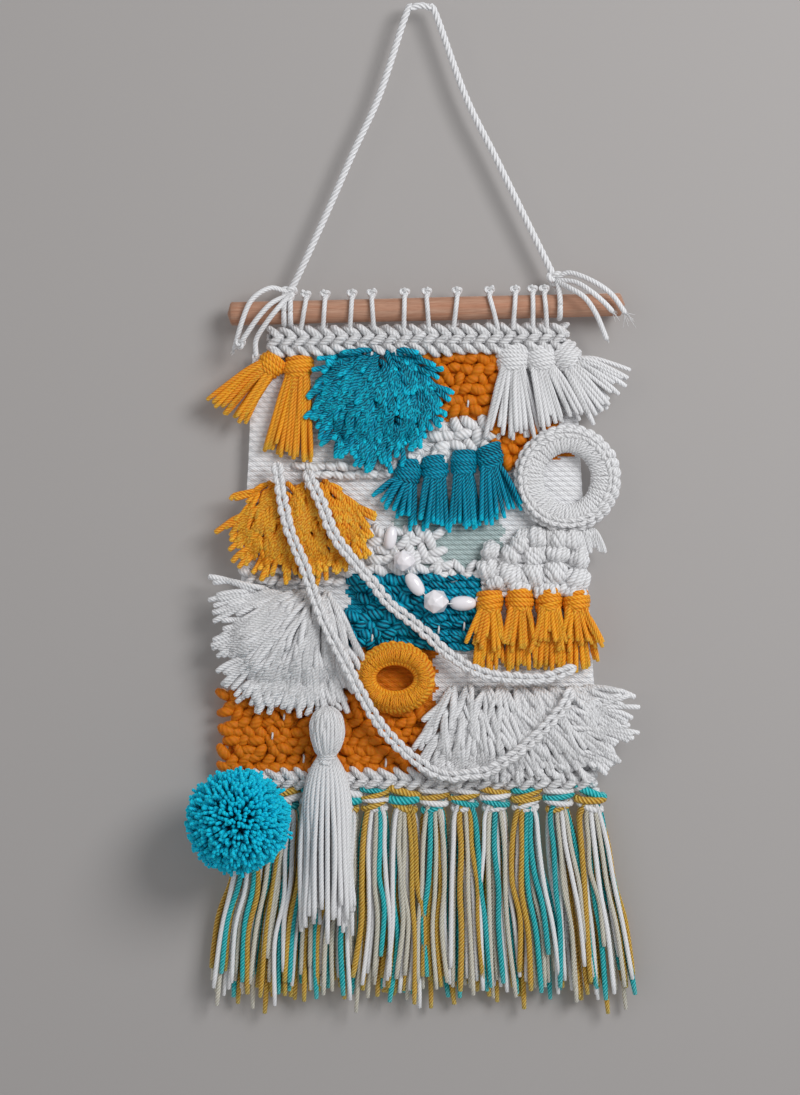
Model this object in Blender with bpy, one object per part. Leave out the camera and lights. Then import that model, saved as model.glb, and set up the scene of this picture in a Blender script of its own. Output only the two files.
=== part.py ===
"""A woven wall hanging of thick yarn on a wooden dowel, with its hanging cord.

The frame: the origin is the point under the cord's top bend, where it is hung up, +Z is
up, and the front faces -Y. Sizes below are millimetres in "hanging" coordinates, which
spot() turns into the scene's metres: x to the right of the origin, depth out from the
flat back of the weave towards the viewer, and z up from the origin, so that nearly all
of the piece has a negative z.

What a maker would cut, wind or sew is one object each: the dowel, the cord and its two
ties, the warp ties, the weave with its braided head and foot rows, every tuft and patch
of shag, two crochet covered rings, loop pile, two crochet chains, beads, a pompom, a
tassel and the knots of the fringe.
"""

import math

import bmesh
import bpy
import numpy as np
from mathutils import Vector
from mathutils.bvhtree import BVHTree

MM = 0.001
GAP = 0.3  # left between neighbours
BACK_Y = 6.0  # y of the weave's flat back, level with the back of the dowel
FAR = 70.0  # depth in front of everything, from which a piece is laid back onto its neighbours

# The dowel, its ends in x and z
DOWEL_RADIUS = 6.0
DOWEL_LEFT = (-97.5, -156.1)
DOWEL_RIGHT = (102.5, -151.3)
DOWEL_DEPTH = 6.0  # its axis

# The hanging cord
CORD_DIAMETER = 3.5
BEND_RADIUS = 7.0  # of the inside of the cord's top bend
KNOT_RADIUS = 3.2
LEFT_KNOT = (-67.5, -145.6)
RIGHT_KNOT = (68.6, -138.0)
LEFT_BEND = (-61.4, -133.5)

# The weave
WEAVE_THICK = 5.0
STITCH_TOP = 8.0  # depth of the raised stitches
STITCH_PITCH = 7.0
WEAVE_TOP, WEAVE_FOOT = -176.3, -390.5
WEAVE_EDGES = (  # z, left, right
    (-176.3, -86.4, 79.0),
    (-232.0, -88.5, 82.0),
    (-282.0, -91.5, 84.8),
    (-340.0, -95.5, 88.5),
    (-390.5, -99.8, 92.3),
)

YARN_RADIUS = 1.7  # of a three sided strand, from its middle to its corners
LOCK_RADIUS = 2.5  # of a four sided lock of shag
COIL_RADIUS = 1.45  # of the cord where it is wound tight on the dowel
TAIL_RADIUS = 1.35
WARP_RADIUS = 1.2

YELLOW = (0.78, 0.40, 0.035, 1.0)
ORANGE = (0.62, 0.22, 0.015, 1.0)
TEAL = (0.0, 0.26, 0.38, 1.0)
AQUA = (0.02, 0.40, 0.45, 1.0)
WHITE = (0.80, 0.79, 0.76, 1.0)
CREAM = (0.70, 0.66, 0.58, 1.0)
PEARL = (0.82, 0.76, 0.77, 1.0)
WOOD = (0.52, 0.30, 0.19, 1.0)


def spot(x, depth, z):
    """A point of the scene, in metres, from hanging millimetres."""
    return Vector((x * MM, (BACK_Y - depth) * MM, z * MM))


def along(table, z, column):
    """A column of a table whose rows run down in z, read between its rows."""
    return float(np.interp(-z, [-row[0] for row in table], [row[column] for row in table]))


def dowel_height(x):
    """The height of the dowel's axis: its right end hangs a little higher."""
    return float(np.interp(x, (DOWEL_LEFT[0], DOWEL_RIGHT[0]), (DOWEL_LEFT[1], DOWEL_RIGHT[1])))


def smooth(route, steps):
    """Points of a smooth curve through a route, with this many steps to each stretch."""
    points = [Vector(point) for point in route]
    points = [2 * points[0] - points[1]] + points + [2 * points[-1] - points[-2]]
    curve = []
    for a, b, c, d in zip(points, points[1:], points[2:], points[3:]):
        for step in range(steps):
            t = step / steps
            square, cube = 2 * a - 5 * b + 4 * c - d, 3 * b - a - 3 * c + d
            curve.append(0.5 * (2 * b + (c - a) * t + square * t**2 + cube * t**3))
    return curve + [points[-2]]


def evenly(curve, pitch):
    """The same curve, with its points this far apart."""
    points = np.array([tuple(point) for point in curve])
    run = np.concatenate([[0.0], np.cumsum(np.linalg.norm(np.diff(points, axis=0), axis=1))])
    count = max(2, round(run[-1] / pitch) + 1)
    at = np.linspace(0.0, run[-1], count)
    return [Vector(row) for row in np.column_stack([np.interp(at, run, points[:, i]) for i in range(3)])]


def finish(name, bm, colour, roughness=0.9):
    """Makes the object of a mesh: faces out, its material on, and its shape kept for what lies on it."""
    bmesh.ops.recalc_face_normals(bm, faces=bm.faces)
    mesh = bpy.data.meshes.new(name)
    bm.to_mesh(mesh)
    bm.free()
    made = bpy.data.objects.new(name, mesh)
    bpy.context.scene.collection.objects.link(made)
    mesh.materials.append(finish_material(colour, roughness))
    SETTLED.append(made)
    return made


def finish_material(colour, roughness):
    """One material for each colour and finish."""
    name = "finish_" + "_".join(f"{round(value * 100):02d}" for value in (*colour[:3], roughness))
    material = bpy.data.materials.get(name)
    if material is None:
        material = bpy.data.materials.new(name)
        material.use_nodes = True
        surface = material.node_tree.nodes["Principled BSDF"]
        surface.inputs["Base Color"].default_value = colour
        surface.inputs["Roughness"].default_value = roughness
        surface.inputs["Metallic"].default_value = 0.0
    return material


def sweep(bm, path, radii, sides, turn=0.0):
    """A closed tube: a ring of corners square to the path at each point, and two caps."""
    rings = []
    upright = abs((path[1] - path[0]).normalized().z) > 0.9
    side = Vector((0.0, 1.0, 0.0)) if upright else Vector((0.0, 0.0, 1.0))
    for i, point in enumerate(path):
        ahead = (path[min(i + 1, len(path) - 1)] - path[max(i - 1, 0)]).normalized()
        side = (side - ahead * side.dot(ahead)).normalized()
        across = ahead.cross(side)
        ring = []
        for k in range(sides):
            a = turn + 2 * math.pi * k / sides
            ring.append(bm.verts.new(point + (side * math.cos(a) + across * math.sin(a)) * radii[i]))
        rings.append(ring)
    skin(bm, rings, closed=False)


def skin(bm, rings, closed):
    """Faces between rings of corners, joined round to the first ring or capped at both ends."""
    pairs = list(zip(rings, rings[1:])) + ([(rings[-1], rings[0])] if closed else [])
    for low, high in pairs:
        for k in range(len(low)):
            after = (k + 1) % len(low)
            bm.faces.new((low[k], low[after], high[after], high[k]))
    if not closed:
        bm.faces.new(list(reversed(rings[0])))
        bm.faces.new(rings[-1])


def grow(bm, face, path, radius, tip=0.6):
    """Draws a strand out of a face: a ring of its corners for each point of the path, and a cap."""
    centre, normal = face.calc_center_median(), face.normal.copy()
    first = (face.verts[0].co - centre).normalized()
    second = normal.cross(first)
    ring = list(face.verts)
    sides = len(ring)
    lean = []
    for k, corner in enumerate(ring):
        offset = corner.co - centre
        angle = math.atan2(offset.dot(second), offset.dot(first)) - 2 * math.pi * k / sides
        lean.append((angle + math.pi) % (2 * math.pi) - math.pi)
    turn = sum(lean) / sides
    bm.faces.remove(face)
    for i, point in enumerate(path):
        before = path[i - 1] if i else centre
        ahead = (path[min(i + 1, len(path) - 1)] - before).normalized()
        tilt = normal.rotation_difference(ahead)
        size = radius * (tip if i == len(path) - 1 else 1.0) * MM
        fresh = []
        for k in range(sides):
            angle = turn + 2 * math.pi * k / sides
            offset = tilt @ (first * math.cos(angle) + second * math.sin(angle))
            fresh.append(bm.verts.new(point + offset * size))
        for k in range(sides):
            after = (k + 1) % sides
            bm.faces.new((ring[k], ring[after], fresh[after], fresh[k]))
        ring = fresh
    bm.faces.new(ring)


def fall(start, out, end, count):
    """Points of a strand that leaves along one direction and then hangs to its end."""
    bend = start + out
    points = []
    for i in range(1, count + 1):
        t = i / count
        points.append(start * (1 - t) ** 2 + bend * 2 * t * (1 - t) + end * t**2)
    return points


def front_of(piece_list, point, reach=0.2):
    """How far a point lies in front of the pieces behind it, in metres, or None over none."""
    nearest = None
    for tree in piece_list:
        hit = tree.ray_cast(point, Vector((0.0, 1.0, 0.0)), reach)
        if hit[0] is not None and (nearest is None or hit[3] < nearest):
            nearest = hit[3]
    return nearest


def tree_of(made):
    """A search tree of one object's faces."""
    corners = [tuple(v.co) for v in made.data.vertices]
    return BVHTree.FromPolygons(corners, [tuple(face.vertices) for face in made.data.polygons])


def settle(bm, supports):
    """Moves a mesh back until it lies a gap in front of the pieces that carry it."""
    trees = [tree_of(made) for made in supports]
    bm.normal_update()
    own = BVHTree.FromBMesh(bm)
    room = [front_of(trees, v.co) for v in bm.verts]
    for made in supports:
        for v in made.data.vertices:
            hit = own.ray_cast(v.co, Vector((0.0, -1.0, 0.0)), 0.2)
            room.append(hit[3] if hit[0] is not None else None)
    back = min(value for value in room if value is not None) - GAP * MM
    bmesh.ops.translate(bm, verts=bm.verts, vec=Vector((0.0, back, 0.0)))


def make_dowel():
    """The bare wooden dowel, its two ends eased."""
    ends = [spot(x, DOWEL_DEPTH, z) for x, z in (DOWEL_LEFT, DOWEL_RIGHT)]
    run = (ends[1] - ends[0]).normalized()
    ease = 0.8
    path = [ends[0], ends[0] + run * ease * MM, ends[1] - run * ease * MM, ends[1]]
    radii = [(DOWEL_RADIUS - ease) * MM, DOWEL_RADIUS * MM, DOWEL_RADIUS * MM, (DOWEL_RADIUS - ease) * MM]
    bm = bmesh.new()
    sweep(bm, path, radii, 20)
    finish("dowel", bm, WOOD, 0.6)


def cord_route():
    """The cord from its left knot over its top bend to its right knot, in hanging millimetres."""
    top = CORD_DIAMETER / 2
    ring = BEND_RADIUS + top
    arc = []
    for angle in (150, 120, 90, 60, 30):
        a = math.radians(angle)
        arc.append((ring * math.cos(a), DOWEL_DEPTH, top - ring + ring * math.sin(a)))
    left_way = (Vector(LEFT_BEND) - Vector(LEFT_KNOT)).normalized()
    right_way = (Vector(arc[-1][::2]) - Vector(RIGHT_KNOT)).normalized()
    clear = KNOT_RADIUS + 0.1
    left_end = Vector(LEFT_KNOT) + left_way * (clear + GAP)
    right_end = Vector(RIGHT_KNOT) + right_way * (clear + GAP)
    left = [(left_end.x, DOWEL_DEPTH, left_end.y), (LEFT_BEND[0], DOWEL_DEPTH, LEFT_BEND[1])]
    left += [(-47.8, DOWEL_DEPTH, -103.6), (-34.7, DOWEL_DEPTH, -73.6), (-21.2, DOWEL_DEPTH, -44.0)]
    right = [(22.8, DOWEL_DEPTH, -44.6), (38.0, DOWEL_DEPTH, -75.5), (53.2, DOWEL_DEPTH, -106.6)]
    right.append((right_end.x, DOWEL_DEPTH, right_end.y))
    return left + arc + right


def make_cord():
    """The cord's tube, from a smooth curve through its route."""
    points = evenly(smooth(cord_route(), 8), CORD_DIAMETER * 2.5)
    curve = bpy.data.curves.new("hanging_cord", "CURVE")
    curve.dimensions = "3D"
    curve.bevel_depth = CORD_DIAMETER / 2 * MM
    curve.bevel_resolution = 2
    curve.use_fill_caps = True
    spline = curve.splines.new("POLY")
    spline.points.add(len(points) - 1)
    for target, point in zip(spline.points, points):
        target.co = (*spot(*point), 1.0)
    cord = bpy.data.objects.new("hanging_cord", curve)
    bpy.context.scene.collection.objects.link(cord)
    curve.materials.append(finish_material(WHITE, 0.9))


def join(base, others):
    """Joins solids that overlap into one, with a union for each."""
    for other in others:
        union = base.modifiers.new("union", "BOOLEAN")
        union.operation = "UNION"
        union.solver = "EXACT"
        union.object = other
        other.hide_render = True
        other.display_type = "WIRE"
        SETTLED.remove(other)


def make_cord_tie(name, knot, coils, loop_top, tails):
    """A knot of the cord: coils round the dowel, the knot itself and its loose tails."""
    x0, z0 = knot
    bm = bmesh.new()
    bmesh.ops.create_icosphere(bm, subdivisions=2, radius=KNOT_RADIUS * MM)
    bmesh.ops.translate(bm, verts=bm.verts, vec=spot(x0, DOWEL_DEPTH, z0))
    base = finish(name, bm, WHITE)
    parts = []
    for number, x in enumerate(coils):
        axis = dowel_height(x)
        sections = []
        bm = bmesh.new()
        steps = 14
        for step in range(steps):
            a = 2 * math.pi * step / steps
            out, up = math.cos(a), math.sin(a)
            thick = COIL_RADIUS * (1.0 - 0.55 * max(0.0, -up) ** 2)  # pressed flat underneath
            ring = DOWEL_RADIUS + GAP + 0.05 + thick
            reach = ring + max(0.0, up) ** 3 * loop_top
            middle_x = x + (x0 - x) * max(0.0, up) ** 3 * 0.5
            corners = []
            for k in range(5):
                b = 2 * math.pi * k / 5
                offset = thick * math.cos(b)
                depth = DOWEL_DEPTH + out * (ring + offset)
                height = axis + up * (reach + offset)
                x1 = middle_x + COIL_RADIUS * math.sin(b)
                corners.append(bm.verts.new(spot(x1, depth, height)))
            sections.append(corners)
        skin(bm, sections, closed=True)
        parts.append(finish(f"{name}_coil_{number}", bm, WHITE))
    for number, route in enumerate(tails):
        bm = bmesh.new()
        path = [spot(*point) for point in smooth(route, 2)]
        radii = [TAIL_RADIUS * MM] * (len(path) - 1) + [TAIL_RADIUS * 0.67 * MM]
        sweep(bm, path, radii, 4)
        parts.append(finish(f"{name}_tail_{number}", bm, WHITE))
    join(base, parts)


# The loose tails of the cord's two ties, as x, depth and z along each
LEFT_TAILS = (
    ((-69, 7, -145), (-77, 12.5, -143.5), (-86, 14.6, -149.5), (-91, 13.5, -160), (-95.4, 10, -176)),
    ((-68, 8, -147), (-76, 16, -151.5), (-82.5, 17.5, -158.5), (-88, 16, -166), (-92, 14.5, -173)),
    ((-67.2, 8.5, -147.4), (-72, 19.6, -153.5), (-78, 19.5, -161), (-83.8, 16, -170), (-84, 13.5, -179.5)),
)
RIGHT_TAILS = (
    ((69.5, 6.5, -137.6), (76, 9, -135.4), (87, 15, -140), (96.7, 16.5, -146.8), (104.5, 15, -158)),
    ((69.6, 7, -139), (78.5, 13, -140.5), (86, 18.6, -145.5), (92.5, 19.4, -151), (97.8, 18, -156.8)),
    ((69.4, 7.5, -139.8), (76, 16.5, -144), (83, 20.4, -149), (89, 19, -157.5), (94.6, 15, -170.8)),
)

WARP_TIES = (  # x of the knot above the dowel, x of the foot in the weave
    (-58.8, -61.5),
    (-49.0, -50.1),
    (-35.3, -36.3),
    (-25.1, -24.0),
    (-8.4, -8.8),
    (2.9, 4.1),
    (18.4, 16.6),
    (35.0, 39.4),
    (48.1, 47.0),
    (57.0, 57.2),
    (63.0, 64.4),
)
HEAD_ROW = (-78.0, 74.0, -163.0, -175.9)  # left, right, height of its top at x = 0, of its foot
HEAD_RISE = 0.012  # how far its top climbs for each mm to the right
FOOT_ROW = (-85.0, 92.0, -390.9, -397.9)


def head_top(x):
    """The top of the braided head row, which follows the tilt of the dowel."""
    return HEAD_ROW[2] + HEAD_RISE * x


def make_warp_tie(number, knot_x, foot_x):
    """One warp end tied over the dowel: up the front, a small knot on top, down the back."""
    ring = DOWEL_RADIUS + GAP + 0.15 + WARP_RADIUS
    axis = dowel_height(knot_x)
    foot_height = head_top(foot_x) + GAP + 0.1
    path, radii = [spot(foot_x, DOWEL_DEPTH + 4.2, foot_height)], [WARP_RADIUS]
    for angle in (-38, 0, 42, 74, 106, 142, 180, 218):
        a = math.radians(angle)
        out, thick = (1.2, 2.0) if angle == 74 else (0.0, 1.0)
        share = min(1.0, max(0.0, (angle + 90) / 130))
        x = foot_x + (knot_x - foot_x) * share
        reach = ring + out
        path.append(spot(x, DOWEL_DEPTH + reach * math.cos(a), axis + reach * math.sin(a)))
        radii.append(WARP_RADIUS * thick)
    path.append(spot(knot_x, DOWEL_DEPTH - 4.2, head_top(knot_x) + GAP + 0.1))
    radii.append(WARP_RADIUS)
    bm = bmesh.new()
    sweep(bm, path, [r * MM for r in radii], 4, turn=math.pi / 4)
    finish(f"warp_tie_{number:02d}", bm, WHITE)


def make_braid(name, row, rise, back, front, pitch):
    """Two rows of slanted stitches that meet in a groove, as in a plait, with a flat back and top."""
    left, right, top_height, foot = row
    bm = bmesh.new()
    count = 2 * round((right - left) / pitch)
    sections = []
    for i in range(count + 1):
        x = left + (right - left) * i / count
        end = i in (0, count)
        puff = 0.0 if end else (1.1 if i % 2 else -0.5)
        lean = 0.0 if end else pitch * 0.28
        top = top_height + rise * x
        drop = top - foot
        profile = (  # x, depth, height
            (x, back, top),
            (x, front - 1.6, top),
            (x - lean, front - (2.0 if end else 0.0) + puff, top - 0.25 * drop),
            (x + lean, front - 2.4, top - 0.5 * drop),
            (x - lean, front - (2.0 if end else 0.0) + puff, top - 0.75 * drop),
            (x, front - 1.8, top - drop),
            (x, back, top - drop),
        )
        sections.append([bm.verts.new(spot(*point)) for point in profile])
    skin(bm, sections, closed=False)
    finish(name, bm, WHITE)


# Shag: z, left, right and front depth of each level of its lumpy body
SHAGS = {
    "teal_shag": (
        (-177.0, -42.0, -5.0, 9.5),
        (-187.0, -48.0, 0.0, 14.5),
        (-199.0, -50.0, 0.0, 16.0),
        (-211.0, -47.0, -1.0, 15.0),
        (-221.0, -40.0, -7.0, 11.5),
    ),
    "yellow_shag_left": (
        (-241.0, -78.0, -34.0, 9.5),
        (-251.0, -88.0, -33.0, 14.0),
        (-264.0, -92.0, -34.0, 16.0),
        (-276.0, -90.0, -37.0, 14.5),
        (-283.5, -84.0, -42.0, 11.0),
    ),
    "white_shag_left": (
        (-296.0, -84.0, -40.0, 10.0),
        (-308.0, -92.0, -38.0, 16.0),
        (-322.0, -95.0, -39.0, 18.0),
        (-336.0, -92.0, -42.0, 16.5),
        (-345.5, -84.0, -46.0, 12.0),
    ),
    "yellow_rya_right": (
        (-300.6, 31.0, 80.0, 10.0),
        (-308.0, 30.0, 84.0, 14.5),
        (-318.0, 30.0, 85.0, 15.5),
        (-327.5, 33.0, 82.0, 12.0),
    ),
    "white_shag_right": (
        (-344.6, 14.0, 84.0, 10.0),
        (-355.0, 9.0, 89.0, 15.5),
        (-367.0, 8.0, 91.0, 17.0),
        (-379.0, 9.0, 90.0, 16.0),
        (-386.5, 14.0, 86.0, 13.0),
    ),
}
SHAG_LOCKS = {  # columns, reach to the left, reach to the right, drop, spread of the lowest locks
    "teal_shag": (7, 10.0, 10.0, 12.0, 0.25),
    "yellow_shag_left": (8, 13.0, 7.0, 8.0, 0.2),
    "white_shag_left": (8, 14.0, 8.0, 11.0, 0.25),
    "yellow_rya_right": (8, 0.0, 10.0, 12.0, 0.1),
    "white_shag_right": (10, 8.0, 13.0, 8.5, 0.12),
}
SHAG_COLOURS = {"teal_shag": TEAL, "yellow_shag_left": YELLOW, "white_shag_left": WHITE}
SHAG_COLOURS.update({"yellow_rya_right": YELLOW, "white_shag_right": WHITE})
SHAG_BACK = WEAVE_THICK + GAP


def make_shag(name, seed):
    """A lumpy body of shag with a flat back, and a lock out of each face of its sides and foot."""
    rng = np.random.default_rng(seed)
    rows = SHAGS[name]
    columns, reach_left, reach_right, drop, spread = SHAG_LOCKS[name]
    bm = bmesh.new()
    front = []
    for level, (z, left, right, depth) in enumerate(rows):
        line = []
        for j in range(columns + 1):
            edge = j in (0, columns)
            lump = 0.0 if edge else rng.uniform(-1.5, 1.0)
            inner = 0.0 if edge or level in (0, len(rows) - 1) else rng.uniform(-1.2, 1.2)
            x = left + (right - left) * j / columns
            line.append(bm.verts.new(spot(x + inner, depth - (2.5 if edge else 0.0) + lump, z + inner)))
        front.append(line)
    rim = front[0] + [line[-1] for line in front[1:]]
    rim += list(reversed(front[-1][:-1])) + [line[0] for line in reversed(front[1:-1])]
    back = [bm.verts.new((v.co.x, (BACK_Y - SHAG_BACK) * MM, v.co.z)) for v in rim]
    for above, below in zip(front, front[1:]):
        for j in range(columns):
            bm.faces.new((above[j], below[j], below[j + 1], above[j + 1]))
    sides = []
    for k in range(len(rim)):
        after = (k + 1) % len(rim)
        sides.append(bm.faces.new((rim[after], back[after], back[k], rim[k])))
    bm.faces.new(back)
    bmesh.ops.recalc_face_normals(bm, faces=bm.faces)
    bm.normal_update()
    levels = len(rows) - 1
    middle = (rows[-1][1] + rows[-1][2]) / 2
    for k, face in enumerate(sides):
        if k < columns or (reach_left == 0.0 and k >= 2 * columns + levels):
            continue
        centre = face.calc_center_median() / MM
        x, depth, z = centre.x, BACK_Y - centre.y, centre.z
        far = rng.uniform(0.8, 1.12)
        if k < columns + levels:
            share = (k - columns + 0.5) / levels
            end = (x + reach_right * far, 11.5, z - (3.0 + 5.0 * share))
        elif k < 2 * columns + levels:
            end = (x + (x - middle) * spread, 12.6, z - drop * far)
        else:
            share = (2 * columns + 2 * levels - k - 0.5) / levels
            end = (x - reach_left * far, 11.5, z - (3.0 + 5.0 * share))
        start = face.calc_center_median()
        lift = spot(x, 11.8, z) - spot(x, depth, z)
        path = fall(start + lift, face.normal * 4.5 * MM, spot(*end), 3)[1:]
        grow(bm, face, [start + lift * 0.8 + face.normal * 2.6 * MM] + path, LOCK_RADIUS, 0.7)
    return finish(name, bm, SHAG_COLOURS[name])


def make_bundle(name, head, aim, ends, colour, radius=YARN_RADIUS, ridges=1, steps=3, out=0.35):
    """A knot whose underside is a strip of triangles, each drawn out into one strand.

    head is x, z, width, height, back and front depth, with x and z at the underside's middle;
    aim turns it in degrees from hanging straight down; ends lists x, depth and z of each strand.
    """
    x0, z0, width, height, back, front = head
    a = math.radians(aim)
    count = len(ends)
    mid, half = (back + front) / 2, (front - back) / 2

    def corner(across, up, deep):
        x = x0 + across * math.cos(a) - up * math.sin(a)
        return spot(x, mid + deep, z0 + across * math.sin(a) + up * math.cos(a))

    bm = bmesh.new()
    levels = [(0.0, 0.86)]
    for ridge in range(ridges):
        low, high = ridge / ridges, (ridge + 1) / ridges
        levels.append(((low + high) / 2, 1.0))
        if ridge < ridges - 1:
            levels.append((high, 0.88))
    levels.append((1.0, 0.72))
    rings = []
    for up, scale in levels:
        corners = []
        for k in range(count + 2):
            across = (k / (count + 1) - 0.5) * width * scale
            deep = half * scale * (1 if k % 2 == 0 else -1)
            corners.append(bm.verts.new(corner(across, up * height, deep)))
        rings.append(corners)
    order = list(range(0, count + 2, 2)) + [k for k in range(count + 1, -1, -1) if k % 2]
    for low, high in zip(rings, rings[1:]):
        for k, after in zip(order, order[1:] + order[:1]):
            bm.faces.new((low[k], low[after], high[after], high[k]))
    bm.faces.new([rings[-1][k] for k in order])
    roots = [bm.faces.new((rings[0][k], rings[0][k + 1], rings[0][k + 2])) for k in range(count)]
    bmesh.ops.recalc_face_normals(bm, faces=bm.faces)
    bm.normal_update()
    for face, end in zip(roots, ends):
        start, target = face.calc_center_median(), spot(*end)
        lead = face.normal * (target - start).length * out
        grow(bm, face, fall(start, lead, target, steps), radius)
    bmesh.ops.triangulate(bm, faces=bm.faces[:])
    return finish(name, bm, colour)


def fan(count, first, last, depths):
    """Ends of a bundle's strands from the first to the last, at two depths by turns, uneven in length."""
    ends = []
    for i in range(count):
        t = i / (count - 1)
        uneven = 2.2 * math.sin(2.3 * i + first[0])
        x = first[0] + (last[0] - first[0]) * t
        z = first[1] + (last[1] - first[1]) * t + uneven
        ends.append((x, depths[i % 2], z))
    return ends


TUFTS = (  # name, x, z of the underside, width, height, aim, strands, first end, last end, colour
    ("yellow_tuft_1", -79.2, -184.4, 11.0, 7.0, -42.0, 6, (-107.0, -200.0), (-90.0, -212.0), YELLOW),
    ("yellow_tuft_2", -62.5, -187.4, 12.0, 7.5, -4.0, 7, (-77.0, -229.0), (-60.5, -231.0), YELLOW),
    ("white_tuft_1", 47.0, -184.0, 11.0, 7.0, 0.0, 6, (37.0, -215.5), (54.0, -215.0), WHITE),
    ("white_tuft_2", 62.0, -184.0, 11.0, 7.0, 4.0, 6, (58.5, -210.5), (78.0, -210.0), WHITE),
    ("white_tuft_3", 77.5, -182.5, 10.5, 7.0, 40.0, 6, (89.0, -209.0), (107.0, -186.0), WHITE),
    ("teal_tuft_1", -7.4, -241.6, 12.2, 9.0, -8.0, 6, (-22.5, -252.0), (-4.0, -264.0), TEAL),
    ("teal_tuft_2", 7.4, -239.6, 12.2, 9.0, 0.0, 6, (0.8, -264.5), (13.2, -264.5), TEAL),
    ("teal_tuft_3", 21.8, -237.0, 12.2, 9.0, 0.0, 6, (16.8, -264.5), (28.6, -264.0), TEAL),
    ("teal_tuft_4", 36.0, -234.0, 12.2, 9.0, 10.0, 6, (32.4, -264.0), (49.0, -259.0), TEAL),
    ("white_rya_row", 67.0, -270.8, 35.0, 3.2, 0.0, 8, (49.5, -274.2), (95.0, -273.6), WHITE),
)


def make_tufts():
    """The single tufts, each with its knot flat on the weave."""
    for name, x, z, width, height, aim, strands, first, last, colour in TUFTS:
        shallow = name == "white_rya_row"
        front = 9.5 if shallow else 11.5
        depths = (8.8, 6.6) if shallow else (10.6, 7.3)
        head = (x, z, width, height, SHAG_BACK, front)
        ends = fan(strands, first, last, depths)
        if shallow:
            ends = [(ex, depth, z - 5.0 + 0.5 * math.sin(3.0 * ex)) for ex, depth, _ in ends]
        make_bundle(name, head, aim, ends, colour)


RINGS = {  # x, z, outer width, outer height, hole width, hole height, front depth, colour
    "ring_white": (74.7, -240.4, 53.0, 53.0, 24.0, 26.0, 14.0, WHITE),
    "ring_orange": (-13.3, -342.3, 40.0, 36.0, 22.0, 14.0, 17.0, YELLOW),
}


def make_covered_ring(name):
    """A ring covered in close stitches: an even ridge at every other section, a flat back."""
    x0, z0, wide, tall, hole_wide, hole_tall, front, colour = RINGS[name]
    back = SHAG_BACK
    bm = bmesh.new()
    sections = []
    count = 28
    for i in range(count):
        a = 2 * math.pi * i / count
        swell = 0.0 if i % 2 else 0.7
        outer = Vector((wide / 2 * math.cos(a), tall / 2 * math.sin(a)))
        inner = Vector((hole_wide / 2 * math.cos(a), hole_tall / 2 * math.sin(a)))
        way = (outer - inner).normalized()
        outer -= way * (0.7 - swell)
        inner += way * (0.7 - swell)
        shape = (  # share of the way from the hole to the outside, depth
            (0.25, back),
            (0.0, back + 0.45 * (front - back)),
            (0.3, front - 0.7 + swell),
            (0.72, front - 1.3 + swell),
            (1.0, back + 0.4 * (front - back)),
            (0.8, back),
        )
        section = []
        for share, depth in shape:
            flat = inner + (outer - inner) * share
            section.append(bm.verts.new(spot(x0 + flat.x, depth, z0 + flat.y)))
        sections.append(section)
    skin(bm, sections, closed=True)
    return finish(name, bm, colour)


PATCHES = (  # left, right, top, foot, kind of stitch
    (2.0, 36.5, -178.0, -210.0, "bobble"),
    (38.0, 56.0, -219.0, -231.0, "bobble"),
    (5.0, 35.0, -210.0, -221.5, "bobble"),
    (-37.0, 12.0, -290.0, -326.0, "slant"),
    (-101.0, 3.0, -349.0, -390.0, "slant"),
)


def covered(x, z):
    """Whether a knot, ring or body of shag lies flat on the weave here."""
    margin = 6.5
    for rows in SHAGS.values():
        if rows[0][0] + margin > z > rows[-1][0] - margin:
            if along(rows, z, 1) - margin < x < along(rows, z, 2) + margin:
                return True
    for x0, z0, wide, tall, *_ in RINGS.values():
        if ((x - x0) / (wide / 2 + margin)) ** 2 + ((z - z0) / (tall / 2 + margin)) ** 2 < 1:
            return True
    for _, x0, z0, width, height, *_ in TUFTS:
        if abs(x - x0) < width / 2 + margin and z0 - margin < z < z0 + height + margin:
            return True
    return False


def stitch_kind(x, z):
    """The raised stitch that shows at a point of the weave, if any."""
    for left, right, top, foot, kind in PATCHES:
        if left < x < right and foot < z < top and not covered(x, z):
            return kind
    return None


def raise_stitch(bm, corners, kind, lean):
    """A stitch of one cell: its corners drawn in and lifted, leaning on slanted rows."""
    centre = sum((v.co for v in corners), Vector()) / 4
    inset = 0.62 if kind == "bobble" else 0.78
    lift = Vector((0.0, -(STITCH_TOP - WEAVE_THICK) * MM, 0.0))
    tops = []
    for v in corners:
        offset = (v.co - centre) * inset
        if kind == "slant":
            offset.x += lean * offset.z * 0.55
            offset.z *= 0.9
        tops.append(bm.verts.new(centre + offset + lift))
    for k in range(4):
        after = (k + 1) % 4
        bm.faces.new((corners[k], corners[after], tops[after], tops[k]))
    bm.faces.new(tops)


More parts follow.
